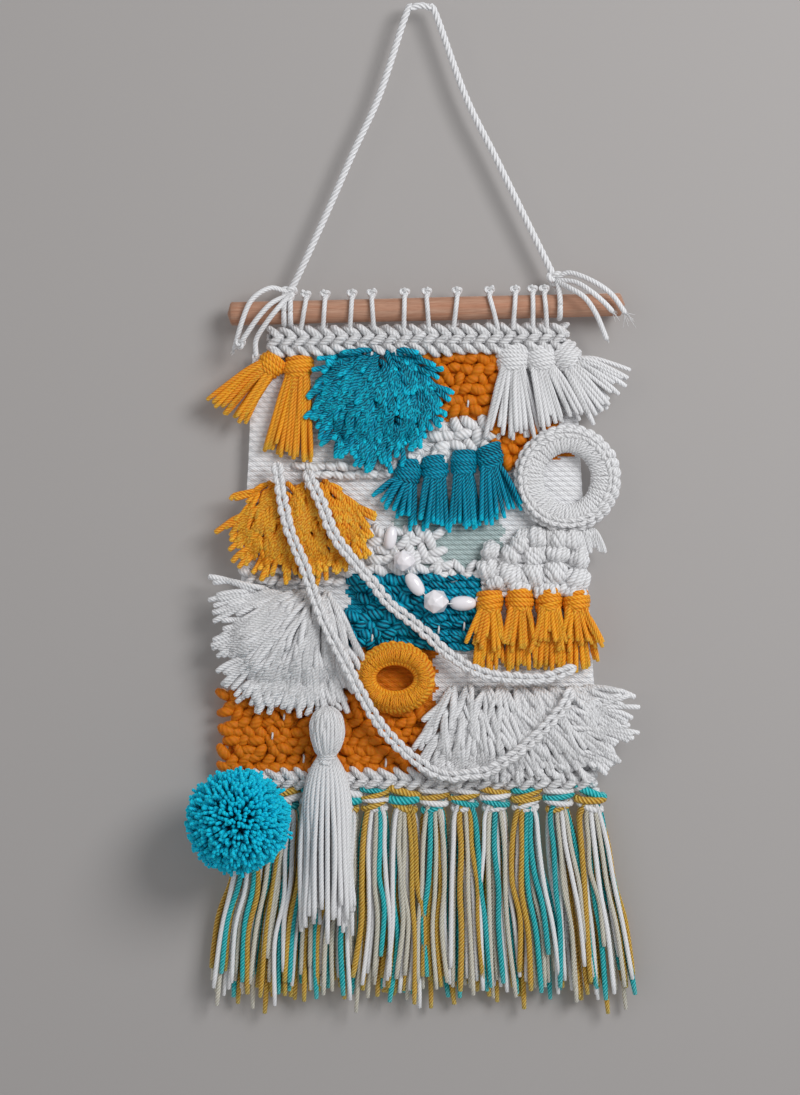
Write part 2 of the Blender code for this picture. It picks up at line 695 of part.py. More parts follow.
def make_weave():
    """The woven panel: a flat back, slightly flared edges, and raised stitches where they show."""
    bm = bmesh.new()
    rows = round((WEAVE_TOP - WEAVE_FOOT) / STITCH_PITCH)
    columns = 26
    front = []
    for i in range(rows + 1):
        z = WEAVE_TOP + (WEAVE_FOOT - WEAVE_TOP) * i / rows
        left, right = along(WEAVE_EDGES, z, 1), along(WEAVE_EDGES, z, 2)
        uneven = 0.0 if i in (0, rows) else 0.7 * (1 if i % 2 else -1)
        line = []
        for j in range(columns + 1):
            x = left - uneven + (right - left + 2 * uneven) * j / columns
            line.append(bm.verts.new(spot(x, WEAVE_THICK, z)))
        front.append(line)
    for i, (above, below) in enumerate(zip(front, front[1:])):
        for j in range(columns):
            corners = (above[j], below[j], below[j + 1], above[j + 1])
            middle = sum((v.co for v in corners), Vector()) / 4 / MM
            kind = stitch_kind(middle.x, middle.z)
            if kind:
                raise_stitch(bm, corners, kind, 1.0 if i % 2 else -1.0)
            else:
                bm.faces.new(corners)
    rim = front[0] + [line[-1] for line in front[1:]]
    rim += list(reversed(front[-1][:-1])) + [line[0] for line in reversed(front[1:-1])]
    back = [bm.verts.new((v.co.x, BACK_Y * MM, v.co.z)) for v in rim]
    for k in range(len(rim)):
        after = (k + 1) % len(rim)
        bm.faces.new((rim[after], back[after], back[k], rim[k]))
    bm.faces.new(back)
    return finish("woven_panel", bm, ORANGE)


LOOP_PILE = (31.0, 85.0, -277.4, -299.0)  # left, right, top, foot


def make_loop_pile():
    """Loops of thick yarn pulled up in three rows, each loop one rounded lump."""
    left, right, top, foot = LOOP_PILE
    bm = bmesh.new()
    columns, rows = 8, 3
    low, high = 8.0, 12.5
    grid = []
    for i in range(rows + 1):
        z = top + (foot - top) * i / rows
        line = []
        for j in range(columns + 1):
            line.append(bm.verts.new(spot(left + (right - left) * j / columns, low, z)))
        grid.append(line)
    for i, (above, below) in enumerate(zip(grid, grid[1:])):
        for j in range(columns):
            corners = (above[j], below[j], below[j + 1], above[j + 1])
            centre = sum((v.co for v in corners), Vector()) / 4
            lift = high + 0.8 * math.sin(5.0 * j + 2.0 * i) - low
            out = Vector((0.0, -lift * MM, 0.0))
            tops = [bm.verts.new(centre + (v.co - centre) * 0.6 + out) for v in corners]
            for k in range(4):
                after = (k + 1) % 4
                bm.faces.new((corners[k], corners[after], tops[after], tops[k]))
            bm.faces.new(tops)
    rim = grid[0] + [line[-1] for line in grid[1:]]
    rim += list(reversed(grid[-1][:-1])) + [line[0] for line in reversed(grid[1:-1])]
    back = [bm.verts.new((v.co.x, (BACK_Y - SHAG_BACK) * MM, v.co.z)) for v in rim]
    for k in range(len(rim)):
        after = (k + 1) % len(rim)
        bm.faces.new((rim[after], back[after], back[k], rim[k]))
    bm.faces.new(back)
    return finish("loop_pile", bm, WHITE)


CHAIN_RADIUS = 2.7
CHAIN_PITCH = 7.5  # of a stitch of the chain's solid
CHAINS = {  # x and z along each chain
    "chain_outer": (
        (-73.7, -232.7), (-70.6, -250.6), (-67.0, -266.5), (-59.8, -283.9), (-54.2, -300.3),
        (-47.6, -316.6), (-37.9, -335.0), (-30.2, -350.4), (-21.0, -365.7), (-10.7, -377.0),
        (2.0, -387.2), (12.8, -391.8), (25.1, -390.8), (33.2, -389.8), (49.1, -379.5),
        (61.4, -368.3), (72.6, -356.0), (77.2, -345.5),
    ),
    "chain_inner": (
        (-58.3, -236.8), (-50.1, -254.7), (-44.0, -269.6), (-31.7, -285.4), (-24.0, -294.1),
        (-16.4, -304.3), (-8.2, -310.5), (4.1, -320.7), (10.7, -327.4), (24.0, -336.6),
        (31.7, -339.6), (38.4, -341.2), (61.4, -342.3), (78.8, -336.6),
    ),
}


def lie_on(points, radius, supports):
    """The depth of each point of a cord that lies over the pieces behind it, drawn taut between them."""
    trees = [tree_of(made) for made in supports]
    need = []
    for point in points:
        highest = WEAVE_THICK
        for k in range(17):
            a = 2 * math.pi * (k % 8) / 8
            spread = (0.0 if k == 16 else (1.0 if k < 8 else 1.7)) * radius
            start = spot(point[0] + spread * math.cos(a), FAR, point[2] + spread * math.sin(a))
            room = front_of(trees, start)
            if room is not None:
                highest = max(highest, FAR - room / MM)
        need.append(highest + GAP + radius + 0.15)
    depth = list(need)
    for _ in range(60):
        for i in range(1, len(depth) - 1):
            depth[i] = max(need[i], (depth[i - 1] + depth[i + 1]) / 2 - 0.05)
    return depth


def make_chain(name):
    """A crochet chain: a narrow and a wide section to each stitch."""
    flat = [(x, 0.0, z) for x, z in CHAINS[name]]
    points = evenly(smooth(flat, 6), CHAIN_PITCH / 2)
    depths = lie_on(points, CHAIN_RADIUS, SETTLED)
    path = [spot(point.x, depth, point.z) for point, depth in zip(points, depths)]
    radii = [(CHAIN_RADIUS if i % 2 else CHAIN_RADIUS * 0.74) * MM for i in range(len(path))]
    radii[0] = radii[-1] = CHAIN_RADIUS * 0.6 * MM
    bm = bmesh.new()
    sweep(bm, path, radii, 5)
    finish(name, bm, WHITE)


BEADS = (  # name, x, z, length, width, turn of its length from level
    ("bead_oval_1", -15.5, -270.7, 12.0, 6.5, 80.0),
    ("bead_facet_1", -8.5, -282.6, 11.0, 11.0, 0.0),
    ("bead_oval_2", -3.1, -294.5, 13.3, 7.5, -55.0),
    ("bead_facet_2", 7.6, -303.2, 12.4, 12.4, 0.0),
    ("bead_oval_3", 21.4, -304.2, 13.6, 7.7, 0.0),
)


def make_bead(name, x, z, length, width, turn):
    """A glossy bead, oval or cut with facets, lying on the weave."""
    bm = bmesh.new()
    if length == width:
        bmesh.ops.create_icosphere(bm, subdivisions=2, radius=width / 2 * MM)
    else:
        bmesh.ops.create_uvsphere(bm, u_segments=8, v_segments=6, radius=width / 2 * MM)
        a = math.radians(turn)
        for v in bm.verts:
            run = v.co.z * length / width
            side = v.co.x
            v.co.x = run * math.cos(a) - side * math.sin(a)
            v.co.z = run * math.sin(a) + side * math.cos(a)
    bmesh.ops.translate(bm, verts=bm.verts, vec=spot(x, FAR, z))
    settle(bm, SETTLED)
    finish(name, bm, PEARL, 0.2)


FRINGE_KNOTS = (-84.9, -69.4, -53.9, -38.5, -23.2, -8.6, 6.4, 21.9, 37.9, 53.9, 70.4, 86.6)
FRINGE_COLOURS = (WHITE, CREAM, YELLOW, CREAM, AQUA, CREAM)
FRINGE_STRANDS = 7
FRINGE_SPREAD = 1.13  # how far the row widens down to the ends of its strands


def make_fringe(number, x):
    """One lark's head knot of the fringe and its strands, in two layers."""
    height, width = 11.0, 14.0
    top = FOOT_ROW[3] - GAP - 0.1 - 0.3 * abs(math.sin(1.7 * number))
    head = (x, top - height, width, height, 0.6, 10.0)
    pitch = 15.5 * FRINGE_SPREAD / FRINGE_STRANDS
    ends = []
    for i in range(FRINGE_STRANDS):
        across = (i - (FRINGE_STRANDS - 1) / 2) * pitch * 0.94
        length = -500.0 + 8.0 * math.sin(2.1 * i + 1.3 * number)
        ends.append((x * FRINGE_SPREAD + across, 7.6 if i % 2 == 0 else 2.8, length))
    colour = FRINGE_COLOURS[number % len(FRINGE_COLOURS)]
    make_bundle(f"fringe_{number:02d}", head, 0.0, ends, colour, radius=1.6, ridges=2, steps=4, out=0.4)


TASSEL_X, TASSEL_TOP = -47.8, -357.0
TASSEL_PROFILE = (  # z, radius across, radius in depth
    (-357.0, 3.5, 3.0),
    (-360.5, 7.0, 6.0),
    (-370.0, 7.9, 6.6),
    (-378.0, 6.6, 5.8),
    (-382.5, 4.2, 4.0),
    (-389.0, 8.6, 5.6),
    (-396.0, 11.5, 6.4),
)


def make_tassel():
    """The tassel: a bound head, a neck, and strands from a bell that opens under it."""
    sides = 12
    bm = bmesh.new()
    sections = []
    for z, across, deep in TASSEL_PROFILE:
        ring = []
        for k in range(sides):
            a = 2 * math.pi * (k + 0.5) / sides
            x, depth = across * math.cos(a), deep * math.sin(a)
            ring.append(bm.verts.new(spot(TASSEL_X + x, FAR + depth, z)))
        sections.append(ring)
    skin(bm, sections, closed=False)
    bm.faces.ensure_lookup_table()
    bottom = bm.faces[-1]
    cap = bmesh.ops.poke(bm, faces=[bottom])
    roots = list(cap["faces"])
    bmesh.ops.recalc_face_normals(bm, faces=bm.faces)
    bm.normal_update()
    for i, face in enumerate(roots):
        centre = face.calc_center_median() / MM
        x, depth = centre.x - TASSEL_X, BACK_Y - centre.y - FAR
        end = spot(TASSEL_X + x * 1.95, FAR + depth * 1.5, -466.0 + 4.0 * math.sin(2.6 * i))
        start = face.calc_center_median()
        grow(bm, face, fall(start, Vector((x * 0.8 * MM, 0.0, -0.03)), end, 3), 2.3, 0.75)
    settle(bm, [made for made in SETTLED if made.name.startswith(("woven", "braid", "fringe"))])
    finish("tassel", bm, WHITE)


POMPOM = (-92.0, -413.0, 25.0)  # x, z, radius


def make_pompom():
    """The pompom: a firm middle, and a lock of cut yarn out of each of its faces."""
    x, z, radius = POMPOM
    core = 0.7 * radius
    middle = spot(x, FAR, z)
    bm = bmesh.new()
    bmesh.ops.create_cube(bm, size=1.0)
    bmesh.ops.subdivide_edges(bm, edges=bm.edges, cuts=2, use_grid_fill=True)
    for v in bm.verts:
        v.co = middle + v.co.normalized() * core * MM
    bm.normal_update()
    for i, face in enumerate(list(bm.faces)):
        way = (face.calc_center_median() - middle).normalized()
        wide = math.sqrt(face.calc_area() / 2) / MM / 0.7
        reach = radius * (0.97 + 0.04 * math.sin(4.1 * i))
        grow(bm, face, [middle + way * reach * MM], wide * 0.88, 1.0)
    behind = ("woven", "braid", "fringe", "white_shag")
    settle(bm, [made for made in SETTLED if made.name.startswith(behind)])
    finish("pompom", bm, TEAL)


def main():
    for made in list(bpy.data.objects):
        bpy.data.objects.remove(made)
    make_dowel()
    make_cord()
    make_cord_tie("cord_tie_left", LEFT_KNOT, (-69.7, -66.5), 0.6, LEFT_TAILS)
    make_cord_tie("cord_tie_right", RIGHT_KNOT, (70.9,), 5.6, RIGHT_TAILS)
    for number, (knot_x, foot_x) in enumerate(WARP_TIES, 1):
        make_warp_tie(number, knot_x, foot_x)
    make_weave()
    make_braid("braid_head", HEAD_ROW, HEAD_RISE, 0.8, 10.9, 8.0)
    make_braid("braid_foot", FOOT_ROW, 0.0, 0.4, 8.2, 8.5)
    for seed, name in enumerate(SHAGS, 1):
        make_shag(name, seed)
    make_tufts()
    make_loop_pile()
    for name in RINGS:
        make_covered_ring(name)
    for number, x in enumerate(FRINGE_KNOTS, 1):
        make_fringe(number, x)
    make_tassel()
    make_pompom()
    for row in BEADS:
        make_bead(*row)
    for name in CHAINS:
        make_chain(name)


SETTLED = []
main()
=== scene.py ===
# %% [markdown]
# A wall hanging of thick yarn is made in front of its CAD model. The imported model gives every
# place and size. This lesson winds yarn round it: each strand is a smooth tube, its plies are
# drawn by the finish, and every tuft, chain, ring and fringe knot is laid from such strands.

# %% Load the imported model
import math

import bpy
import numpy as np
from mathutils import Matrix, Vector
from mathutils.bvhtree import BVHTree


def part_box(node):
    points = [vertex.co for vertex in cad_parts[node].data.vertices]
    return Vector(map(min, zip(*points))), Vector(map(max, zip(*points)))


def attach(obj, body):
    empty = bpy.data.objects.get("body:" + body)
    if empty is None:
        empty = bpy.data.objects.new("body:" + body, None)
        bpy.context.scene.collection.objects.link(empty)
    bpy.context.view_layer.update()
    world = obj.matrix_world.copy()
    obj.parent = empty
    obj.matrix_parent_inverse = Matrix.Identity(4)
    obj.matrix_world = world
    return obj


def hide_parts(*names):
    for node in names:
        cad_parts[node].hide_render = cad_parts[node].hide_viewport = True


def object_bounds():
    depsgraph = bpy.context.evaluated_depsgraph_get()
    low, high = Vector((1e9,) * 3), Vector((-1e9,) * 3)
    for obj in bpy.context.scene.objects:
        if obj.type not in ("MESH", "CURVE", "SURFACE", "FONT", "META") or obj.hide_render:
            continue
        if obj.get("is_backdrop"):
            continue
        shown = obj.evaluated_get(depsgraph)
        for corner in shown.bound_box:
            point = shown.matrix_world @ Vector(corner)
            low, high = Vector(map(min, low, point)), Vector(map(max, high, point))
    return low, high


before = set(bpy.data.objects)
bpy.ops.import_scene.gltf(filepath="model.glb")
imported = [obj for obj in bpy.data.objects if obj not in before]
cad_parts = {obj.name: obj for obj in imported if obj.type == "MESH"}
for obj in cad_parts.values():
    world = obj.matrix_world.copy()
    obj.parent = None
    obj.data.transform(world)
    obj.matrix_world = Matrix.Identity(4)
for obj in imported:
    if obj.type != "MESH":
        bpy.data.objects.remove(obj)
CAD_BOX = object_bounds()
print("nodes:", len(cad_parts))

# %% [markdown]
# Sizes are given as the part's own source gives them: x to the right, depth out from the flat
# back of the weave, and z up from the point where the cord is hung up, all in millimetres.

# %% Places and a camera
MM = 0.001
BACK_Y = 6.0  # y of the weave's back
BODY = "root"


def place(points):
    """x, depth and z as the frame's x, y and z, still in millimetres."""
    moved = np.array(points, float)
    moved[..., 1] = BACK_Y - moved[..., 1]
    return moved


camera = bpy.data.objects.new("camera", bpy.data.cameras.new("camera"))
bpy.context.scene.collection.objects.link(camera)
bpy.context.scene.camera = camera
camera.data.lens = 96.4
camera.data.sensor_width = 36.0
camera.location = (-0.0107, -1.501, -0.2757)
camera.rotation_euler = (math.radians(90.0), 0.0, 0.0)
camera.data.clip_start = 0.01

# %% [markdown]
# A strand is a row of rings along a path. Real yarn is a few plies twisted together. Modelling
# each ply would need four times the faces, and rings with a lobe for each ply need many rings to
# a turn, so only the hanging cord has lobes. On all other strands the finish draws the plies. The
# straightened place of every point is kept in "lay", so that they follow the strand in any bend.


# %% A skein collects strands
class Skein:
    """Faces of many strands, which become one piece."""

    def __init__(self, seed):
        self.points, self.faces, self.lay, self.strand, self.dye = [], [], [], [], []
        self.count = 0
        self.rng = np.random.default_rng(seed)

    def add(self, points, faces, lay, strand, dye):
        self.points.append(points)
        self.faces.append(faces + self.count)
        self.lay.append(lay)
        self.strand.append(strand)
        self.dye.append(np.broadcast_to(dye, (len(faces),)))
        self.count += len(points)


def through(points, rings):
    """A smooth curve through points, the same number of rings for each strand."""
    p = np.asarray(points, float)
    first = 2 * p[..., :1, :] - p[..., 1:2, :]
    last = 2 * p[..., -1:, :] - p[..., -2:-1, :]
    p = np.concatenate([first, p, last], -2)
    t = np.linspace(0, p.shape[-2] - 3, rings)
    i = np.minimum(t.astype(int), p.shape[-2] - 4)
    f = (t - i)[:, None]
    a, b, c, d = (p[..., i + k, :] for k in range(4))
    square, cube = 2 * a - 5 * b + 4 * c - d, 3 * b - a - 3 * c + d
    return 0.5 * (2 * b + (c - a) * f + square * f**2 + cube * f**3)


def evenly(path, gap):
    """One path with its points the same distance apart."""
    run = np.concatenate([[0.0], np.cumsum(np.linalg.norm(np.diff(path, axis=0), axis=1))])
    at = np.linspace(0.0, run[-1], max(3, round(run[-1] / gap) + 1))
    return np.column_stack([np.interp(at, run, path[:, i]) for i in range(3)])


def unit(vectors):
    return vectors / (np.linalg.norm(vectors, axis=-1, keepdims=True) + 1e-9)


PLY_TURN = 7.6  # mm along the yarn for one full turn of its plies


def spin(skein, paths, radius, dye=0, sides=6, lobe=0.0, turn=PLY_TURN, cut=0.8):
    """Strands of yarn along paths of x, depth and z, each with the same number of rings.

    A lobe above 0 raises four plies in the shape itself, and a cut below 1 draws in the far end.
    """
    paths = place(paths)
    paths = paths[None] if paths.ndim == 2 else paths
    count, rings = paths.shape[:2]
    ahead = unit(np.gradient(paths, axis=1))
    side = np.cross(ahead[:, 0], (0.31, 0.87, 0.38))
    first = np.empty_like(paths)
    for i in range(rings):
        side = unit(side - ahead[:, i] * np.sum(side * ahead[:, i], 1, keepdims=True))
        first[:, i] = side
    second = np.cross(ahead, first)
    step = np.linalg.norm(np.diff(paths, axis=1), axis=2)
    run = np.concatenate([np.zeros((count, 1)), np.cumsum(step, 1)], 1)
    left = run[:, -1:] - run
    along = run + skein.rng.uniform(0, 400, (count, 1))
    wide = np.array(np.broadcast_to(radius, (count, rings)))
    wide[:, -1] *= cut
    corner = 2 * math.pi * np.arange(sides) / sides
    angle = corner + (2 * math.pi * along / turn)[..., None] * (lobe > 0)
    size = wide[..., None] * (1 + lobe * np.cos(4 * corner))
    flat = np.stack([np.cos(angle), np.sin(angle)], -1) * size[..., None]
    skin = paths[:, :, None] + flat[..., :1] * first[:, :, None] + flat[..., 1:] * second[:, :, None]
    ends = [paths[:, 0] - ahead[:, 0] * wide[:, :1] * 0.3, paths[:, -1] + ahead[:, -1] * wide[:, -1:] * 0.4]
    points = np.concatenate([skin.reshape(count, -1, 3), ends[0][:, None], ends[1][:, None]], 1)
    told = along * PLY_TURN / turn
    lay = np.concatenate([flat, np.broadcast_to(told[..., None, None], flat[..., :1].shape)], -1)
    caps = np.stack([np.stack([0 * run[:, i], 0 * run[:, i], told[:, i]], -1) for i in (0, -1)], 1)
    lay = np.concatenate([lay.reshape(count, -1, 3), caps], 1)
    shade = skein.rng.random((count, 1, 1))
    tip = np.exp(-left / 1.6)[..., None] * np.ones(sides)
    # root is 1 where a strand starts and fades along it. The finish darkens the colour there as painted
    # shade.
    root = np.exp(-run / 9.0)[..., None] * np.ones(sides)
    tip = np.concatenate([tip.reshape(count, -1), tip[:, 0, :1], tip[:, -1, :1]], 1)
    root = np.concatenate([root.reshape(count, -1), root[:, 0, :1], root[:, -1, :1]], 1)
    strand = np.stack([np.broadcast_to(shade[..., 0], tip.shape), tip, root], -1)
    i, j = np.meshgrid(np.arange(rings - 1), np.arange(sides), indexing="ij")
    here, there = i * sides + j, i * sides + (j + 1) % sides
    quads = [np.stack([here, there, there + sides, here + sides], -1).reshape(-1, 4)]
    even = np.arange(0, sides, 2)
    far = (rings - 1) * sides
    low = np.full_like(even, rings * sides)
    quads.append(np.stack([low, (even + 2) % sides, even + 1, even], -1))
    quads.append(np.stack([low + 1, far + even, far + even + 1, far + (even + 2) % sides], -1))
    one = np.concatenate(quads)
    faces = (one[None] + (np.arange(count) * points.shape[1])[:, None, None]).reshape(-1, 4)
    dye = np.asarray(dye)
    dye = np.repeat(dye, len(one)) if dye.ndim else dye
    skein.add(points.reshape(-1, 3), faces, lay.reshape(-1, 3), strand.reshape(-1, 3), dye)


def vectors(mesh, name, values):
    """Writes one vector for each point of a mesh."""
    held = mesh.attributes.new(name, "FLOAT_VECTOR", "POINT")
    held.data.foreach_set("vector", np.ascontiguousarray(values, np.float32).ravel())


def finish_piece(name, skein, dyes, nodes=()):
    """Makes the piece of a skein, its mesh and its finishes, and hides the CAD nodes it stands for."""
    points, faces = np.concatenate(skein.points) * MM, np.concatenate(skein.faces)
    mesh = bpy.data.meshes.new(name)
    mesh.vertices.add(len(points))
    mesh.vertices.foreach_set("co", points.astype(np.float32).ravel())
    mesh.loops.add(faces.size)
    mesh.loops.foreach_set("vertex_index", faces.astype(np.int32).ravel())
    mesh.polygons.add(len(faces))
    mesh.polygons.foreach_set("loop_start", np.arange(0, faces.size, 4, dtype=np.int32))
    mesh.polygons.foreach_set("material_index", np.concatenate(skein.dye).astype(np.int32))
    mesh.polygons.foreach_set("use_smooth", np.ones(len(faces), bool))
    mesh.update(calc_edges=True)
    vectors(mesh, "lay", np.concatenate(skein.lay))
    vectors(mesh, "strand", np.concatenate(skein.strand))
    for dye in dyes:
        mesh.materials.append(YARNS[dye])
    piece = bpy.data.objects.new(name, mesh)
    bpy.context.scene.collection.objects.link(piece)
    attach(piece, BODY)
    if nodes:
        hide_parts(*nodes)
    TALLY[name] = 2 * len(faces)
    print(f"{name}: {2 * len(faces)} triangles")
    return piece


TALLY = {}

# %% [markdown]
# Yarn takes its look from three things: grooves between the plies, loose fibres on top of them
# and a dye that is never quite even. One group finds the plies and the fibres from the
# straightened places. A second mixes the dye and paints shade into the grooves and near the
# strands' roots and a highlight on the crowns of the plies. Each colour of yarn uses both
# with its own values. An image of yarn would not follow the twist through bends.


# %% Shader groups for plies, dye and painted light
def new_group(name, inputs, outputs):
    tree = bpy.data.node_groups.new(name, "ShaderNodeTree")
    for label, kind, value in inputs:
        socket = tree.interface.new_socket(label, in_out="INPUT", socket_type=kind)
        if value is not None:
            socket.default_value = value
    for label, kind in outputs:
        tree.interface.new_socket(label, in_out="OUTPUT", socket_type=kind)
    return tree, tree.nodes.new("NodeGroupInput"), tree.nodes.new("NodeGroupOutput")


def wire(tree, kind, *sources, **settings):
    """A node with its inputs linked or set in order, and its settings."""
    node = tree.nodes.new("ShaderNode" + kind)
    for key, value in settings.items():
        setattr(node, key, value)
    for socket, source in zip(node.inputs, sources):
        if source is None:
            continue
        if isinstance(source, bpy.types.NodeSocket):
            tree.links.new(source, socket)
        else:
            socket.default_value = source
    return node


def maths(tree, operation, *sources):
    return wire(tree, "Math", *sources, operation=operation).outputs[0]


def blend(tree, share, low, high):
    """One colour mixed into another."""
    node = tree.nodes.new("ShaderNodeMix")
    node.data_type = "RGBA"
    for socket, source in ((node.inputs[0], share), (node.inputs[6], low), (node.inputs[7], high)):
        if isinstance(source, bpy.types.NodeSocket):
            tree.links.new(source, socket)
        else:
            socket.default_value = source
    return node.outputs[2]


FLOAT, VECTOR, COLOUR = "NodeSocketFloat", "NodeSocketVector", "NodeSocketColor"

plies_group, inside, outside = new_group(
    "plies and fibres",
    (("Lay", VECTOR, None), ("Plies", FLOAT, 4.0), ("Turn", FLOAT, PLY_TURN), ("Fibre size", FLOAT, 1.0)),
    (("Height", FLOAT), ("Groove", FLOAT), ("Fibre", FLOAT)),
)
g = plies_group
lay_x, lay_y, lay_z = wire(g, "SeparateXYZ", inside.outputs["Lay"]).outputs[:3]
around = maths(g, "ARCTAN2", lay_y, lay_x)
twist = maths(g, "DIVIDE", maths(g, "MULTIPLY", lay_z, 2 * math.pi), inside.outputs["Turn"])
turned = maths(g, "SUBTRACT", around, twist)
ridge = maths(g, "COSINE", maths(g, "MULTIPLY", turned, inside.outputs["Plies"]))
crown = maths(g, "POWER", maths(g, "MULTIPLY_ADD", ridge, 0.5, 0.5), 0.7)
fibre_at = wire(
    g, "CombineXYZ",
    maths(g, "MULTIPLY", maths(g, "COSINE", turned), 5.0),
    maths(g, "MULTIPLY", maths(g, "SINE", turned), 5.0),
    maths(g, "MULTIPLY", lay_z, 0.55),
).outputs[0]
fibre = wire(g, "TexNoise", fibre_at, None, inside.outputs["Fibre size"], 4.0, 0.65).outputs[0]
g.links.new(maths(g, "MULTIPLY_ADD", fibre, 0.5, crown), outside.inputs["Height"])
g.links.new(maths(g, "SUBTRACT", 1.0, crown), outside.inputs["Groove"])
g.links.new(fibre, outside.inputs["Fibre"])

dye_and_painted_light_group, inside, outside = new_group(
    "uneven dye and painted light",
    (
        ("Colour", COLOUR, None), ("Painted shade and uneven dye", COLOUR, None), ("Pale and painted highlight", COLOUR, None), ("Strand", VECTOR, None),
        ("Groove", FLOAT, 0.0), ("Fibre", FLOAT, 0.5), ("Unevenness", FLOAT, 0.5), ("Tip", FLOAT, 0.4),
    ),
    (("Colour", COLOUR),),
)
g = dye_and_painted_light_group
shade, tip, root = wire(g, "SeparateXYZ", inside.outputs["Strand"]).outputs[:3]
low = maths(g, "MULTIPLY", maths(g, "MULTIPLY", shade, inside.outputs["Unevenness"]), 0.7)
# The share of the darker second colour: each strand's own random tone, plus painted shade in the grooves
# between the plies and near the strand's root.
dark = maths(g, "MULTIPLY_ADD", inside.outputs["Groove"], 0.36, low)
dark = maths(g, "MINIMUM", maths(g, "MULTIPLY_ADD", root, 0.25, dark), 1.0)
mixed = blend(g, dark, inside.outputs["Colour"], inside.outputs["Painted shade and uneven dye"])
# Paler at cut tips and where loose fibres lie, and paler on the crowns of the plies as a painted highlight.
light = maths(g, "MULTIPLY", tip, inside.outputs["Tip"])
light = maths(g, "MULTIPLY_ADD", maths(g, "SUBTRACT", inside.outputs["Fibre"], 0.4), 1.3, light)
light = maths(g, "MULTIPLY_ADD", maths(g, "SUBTRACT", 0.45, inside.outputs["Groove"]), 0.5, light)
light = maths(g, "MINIMUM", maths(g, "MAXIMUM", light, 0.0), 0.85)
g.links.new(blend(g, light, mixed, inside.outputs["Pale and painted highlight"]), outside.inputs["Colour"])

# The weft rows of the cloth are straight strands already, so their places come from x and z.
CLOTH_TOP, CLOTH_ROW = -0.1763, 0.00252  # z of the first row and height of a row, in metres
ROW_RADIUS = 1.25
ROW_SHIFT = 37.7  # mm between the plies of one row and of the next
rows_group, inside, outside = new_group(
    "weft rows", (("Place", VECTOR, None),), (("Lay", VECTOR), ("Gap", FLOAT)),
)
g = rows_group
row_x, _, row_z = wire(g, "SeparateXYZ", inside.outputs["Place"]).outputs[:3]
row = maths(g, "DIVIDE", maths(g, "SUBTRACT", CLOTH_TOP, row_z), CLOTH_ROW)
whole = maths(g, "FLOOR", row)
off_middle = maths(g, "SUBTRACT", maths(g, "SUBTRACT", row, whole), 0.5)
bend = maths(g, "MULTIPLY", off_middle, math.pi)
row_lay = wire(
    g, "CombineXYZ",
    maths(g, "MULTIPLY", maths(g, "COSINE", bend), ROW_RADIUS),
    maths(g, "MULTIPLY", maths(g, "SINE", bend), ROW_RADIUS),
    maths(g, "MULTIPLY_ADD", row_x, 1.0 / MM, maths(g, "MULTIPLY", whole, ROW_SHIFT)),
)
g.links.new(row_lay.outputs[0], outside.inputs["Lay"])
# Gap rises to 1 at the edge between two rows. There it sinks the relief, and the finish darkens the colour as
# painted shade.
beside = maths(g, "MULTIPLY", maths(g, "ABSOLUTE", off_middle), 2.0)
g.links.new(maths(g, "POWER", beside, 5.0), outside.inputs["Gap"])


# %% The yarns
def linear(red, green, blue):
    """A colour of the screen, 0 to 255, as the shader's linear numbers."""
    parts = [v / 255 for v in (red, green, blue)]
    return (*[v / 12.92 if v <= 0.04045 else ((v + 0.055) / 1.055) ** 2.4 for v in parts], 1.0)


def principled(name, roughness, **constants):
    material = bpy.data.materials.new(name)
    material.use_nodes = True
    shader = material.node_tree.nodes["Principled BSDF"]
    shader.inputs["Roughness"].default_value = roughness
    for socket, value in constants.items():
        shader.inputs[socket.replace("_", " ")].default_value = value
    return material, material.node_tree, shader


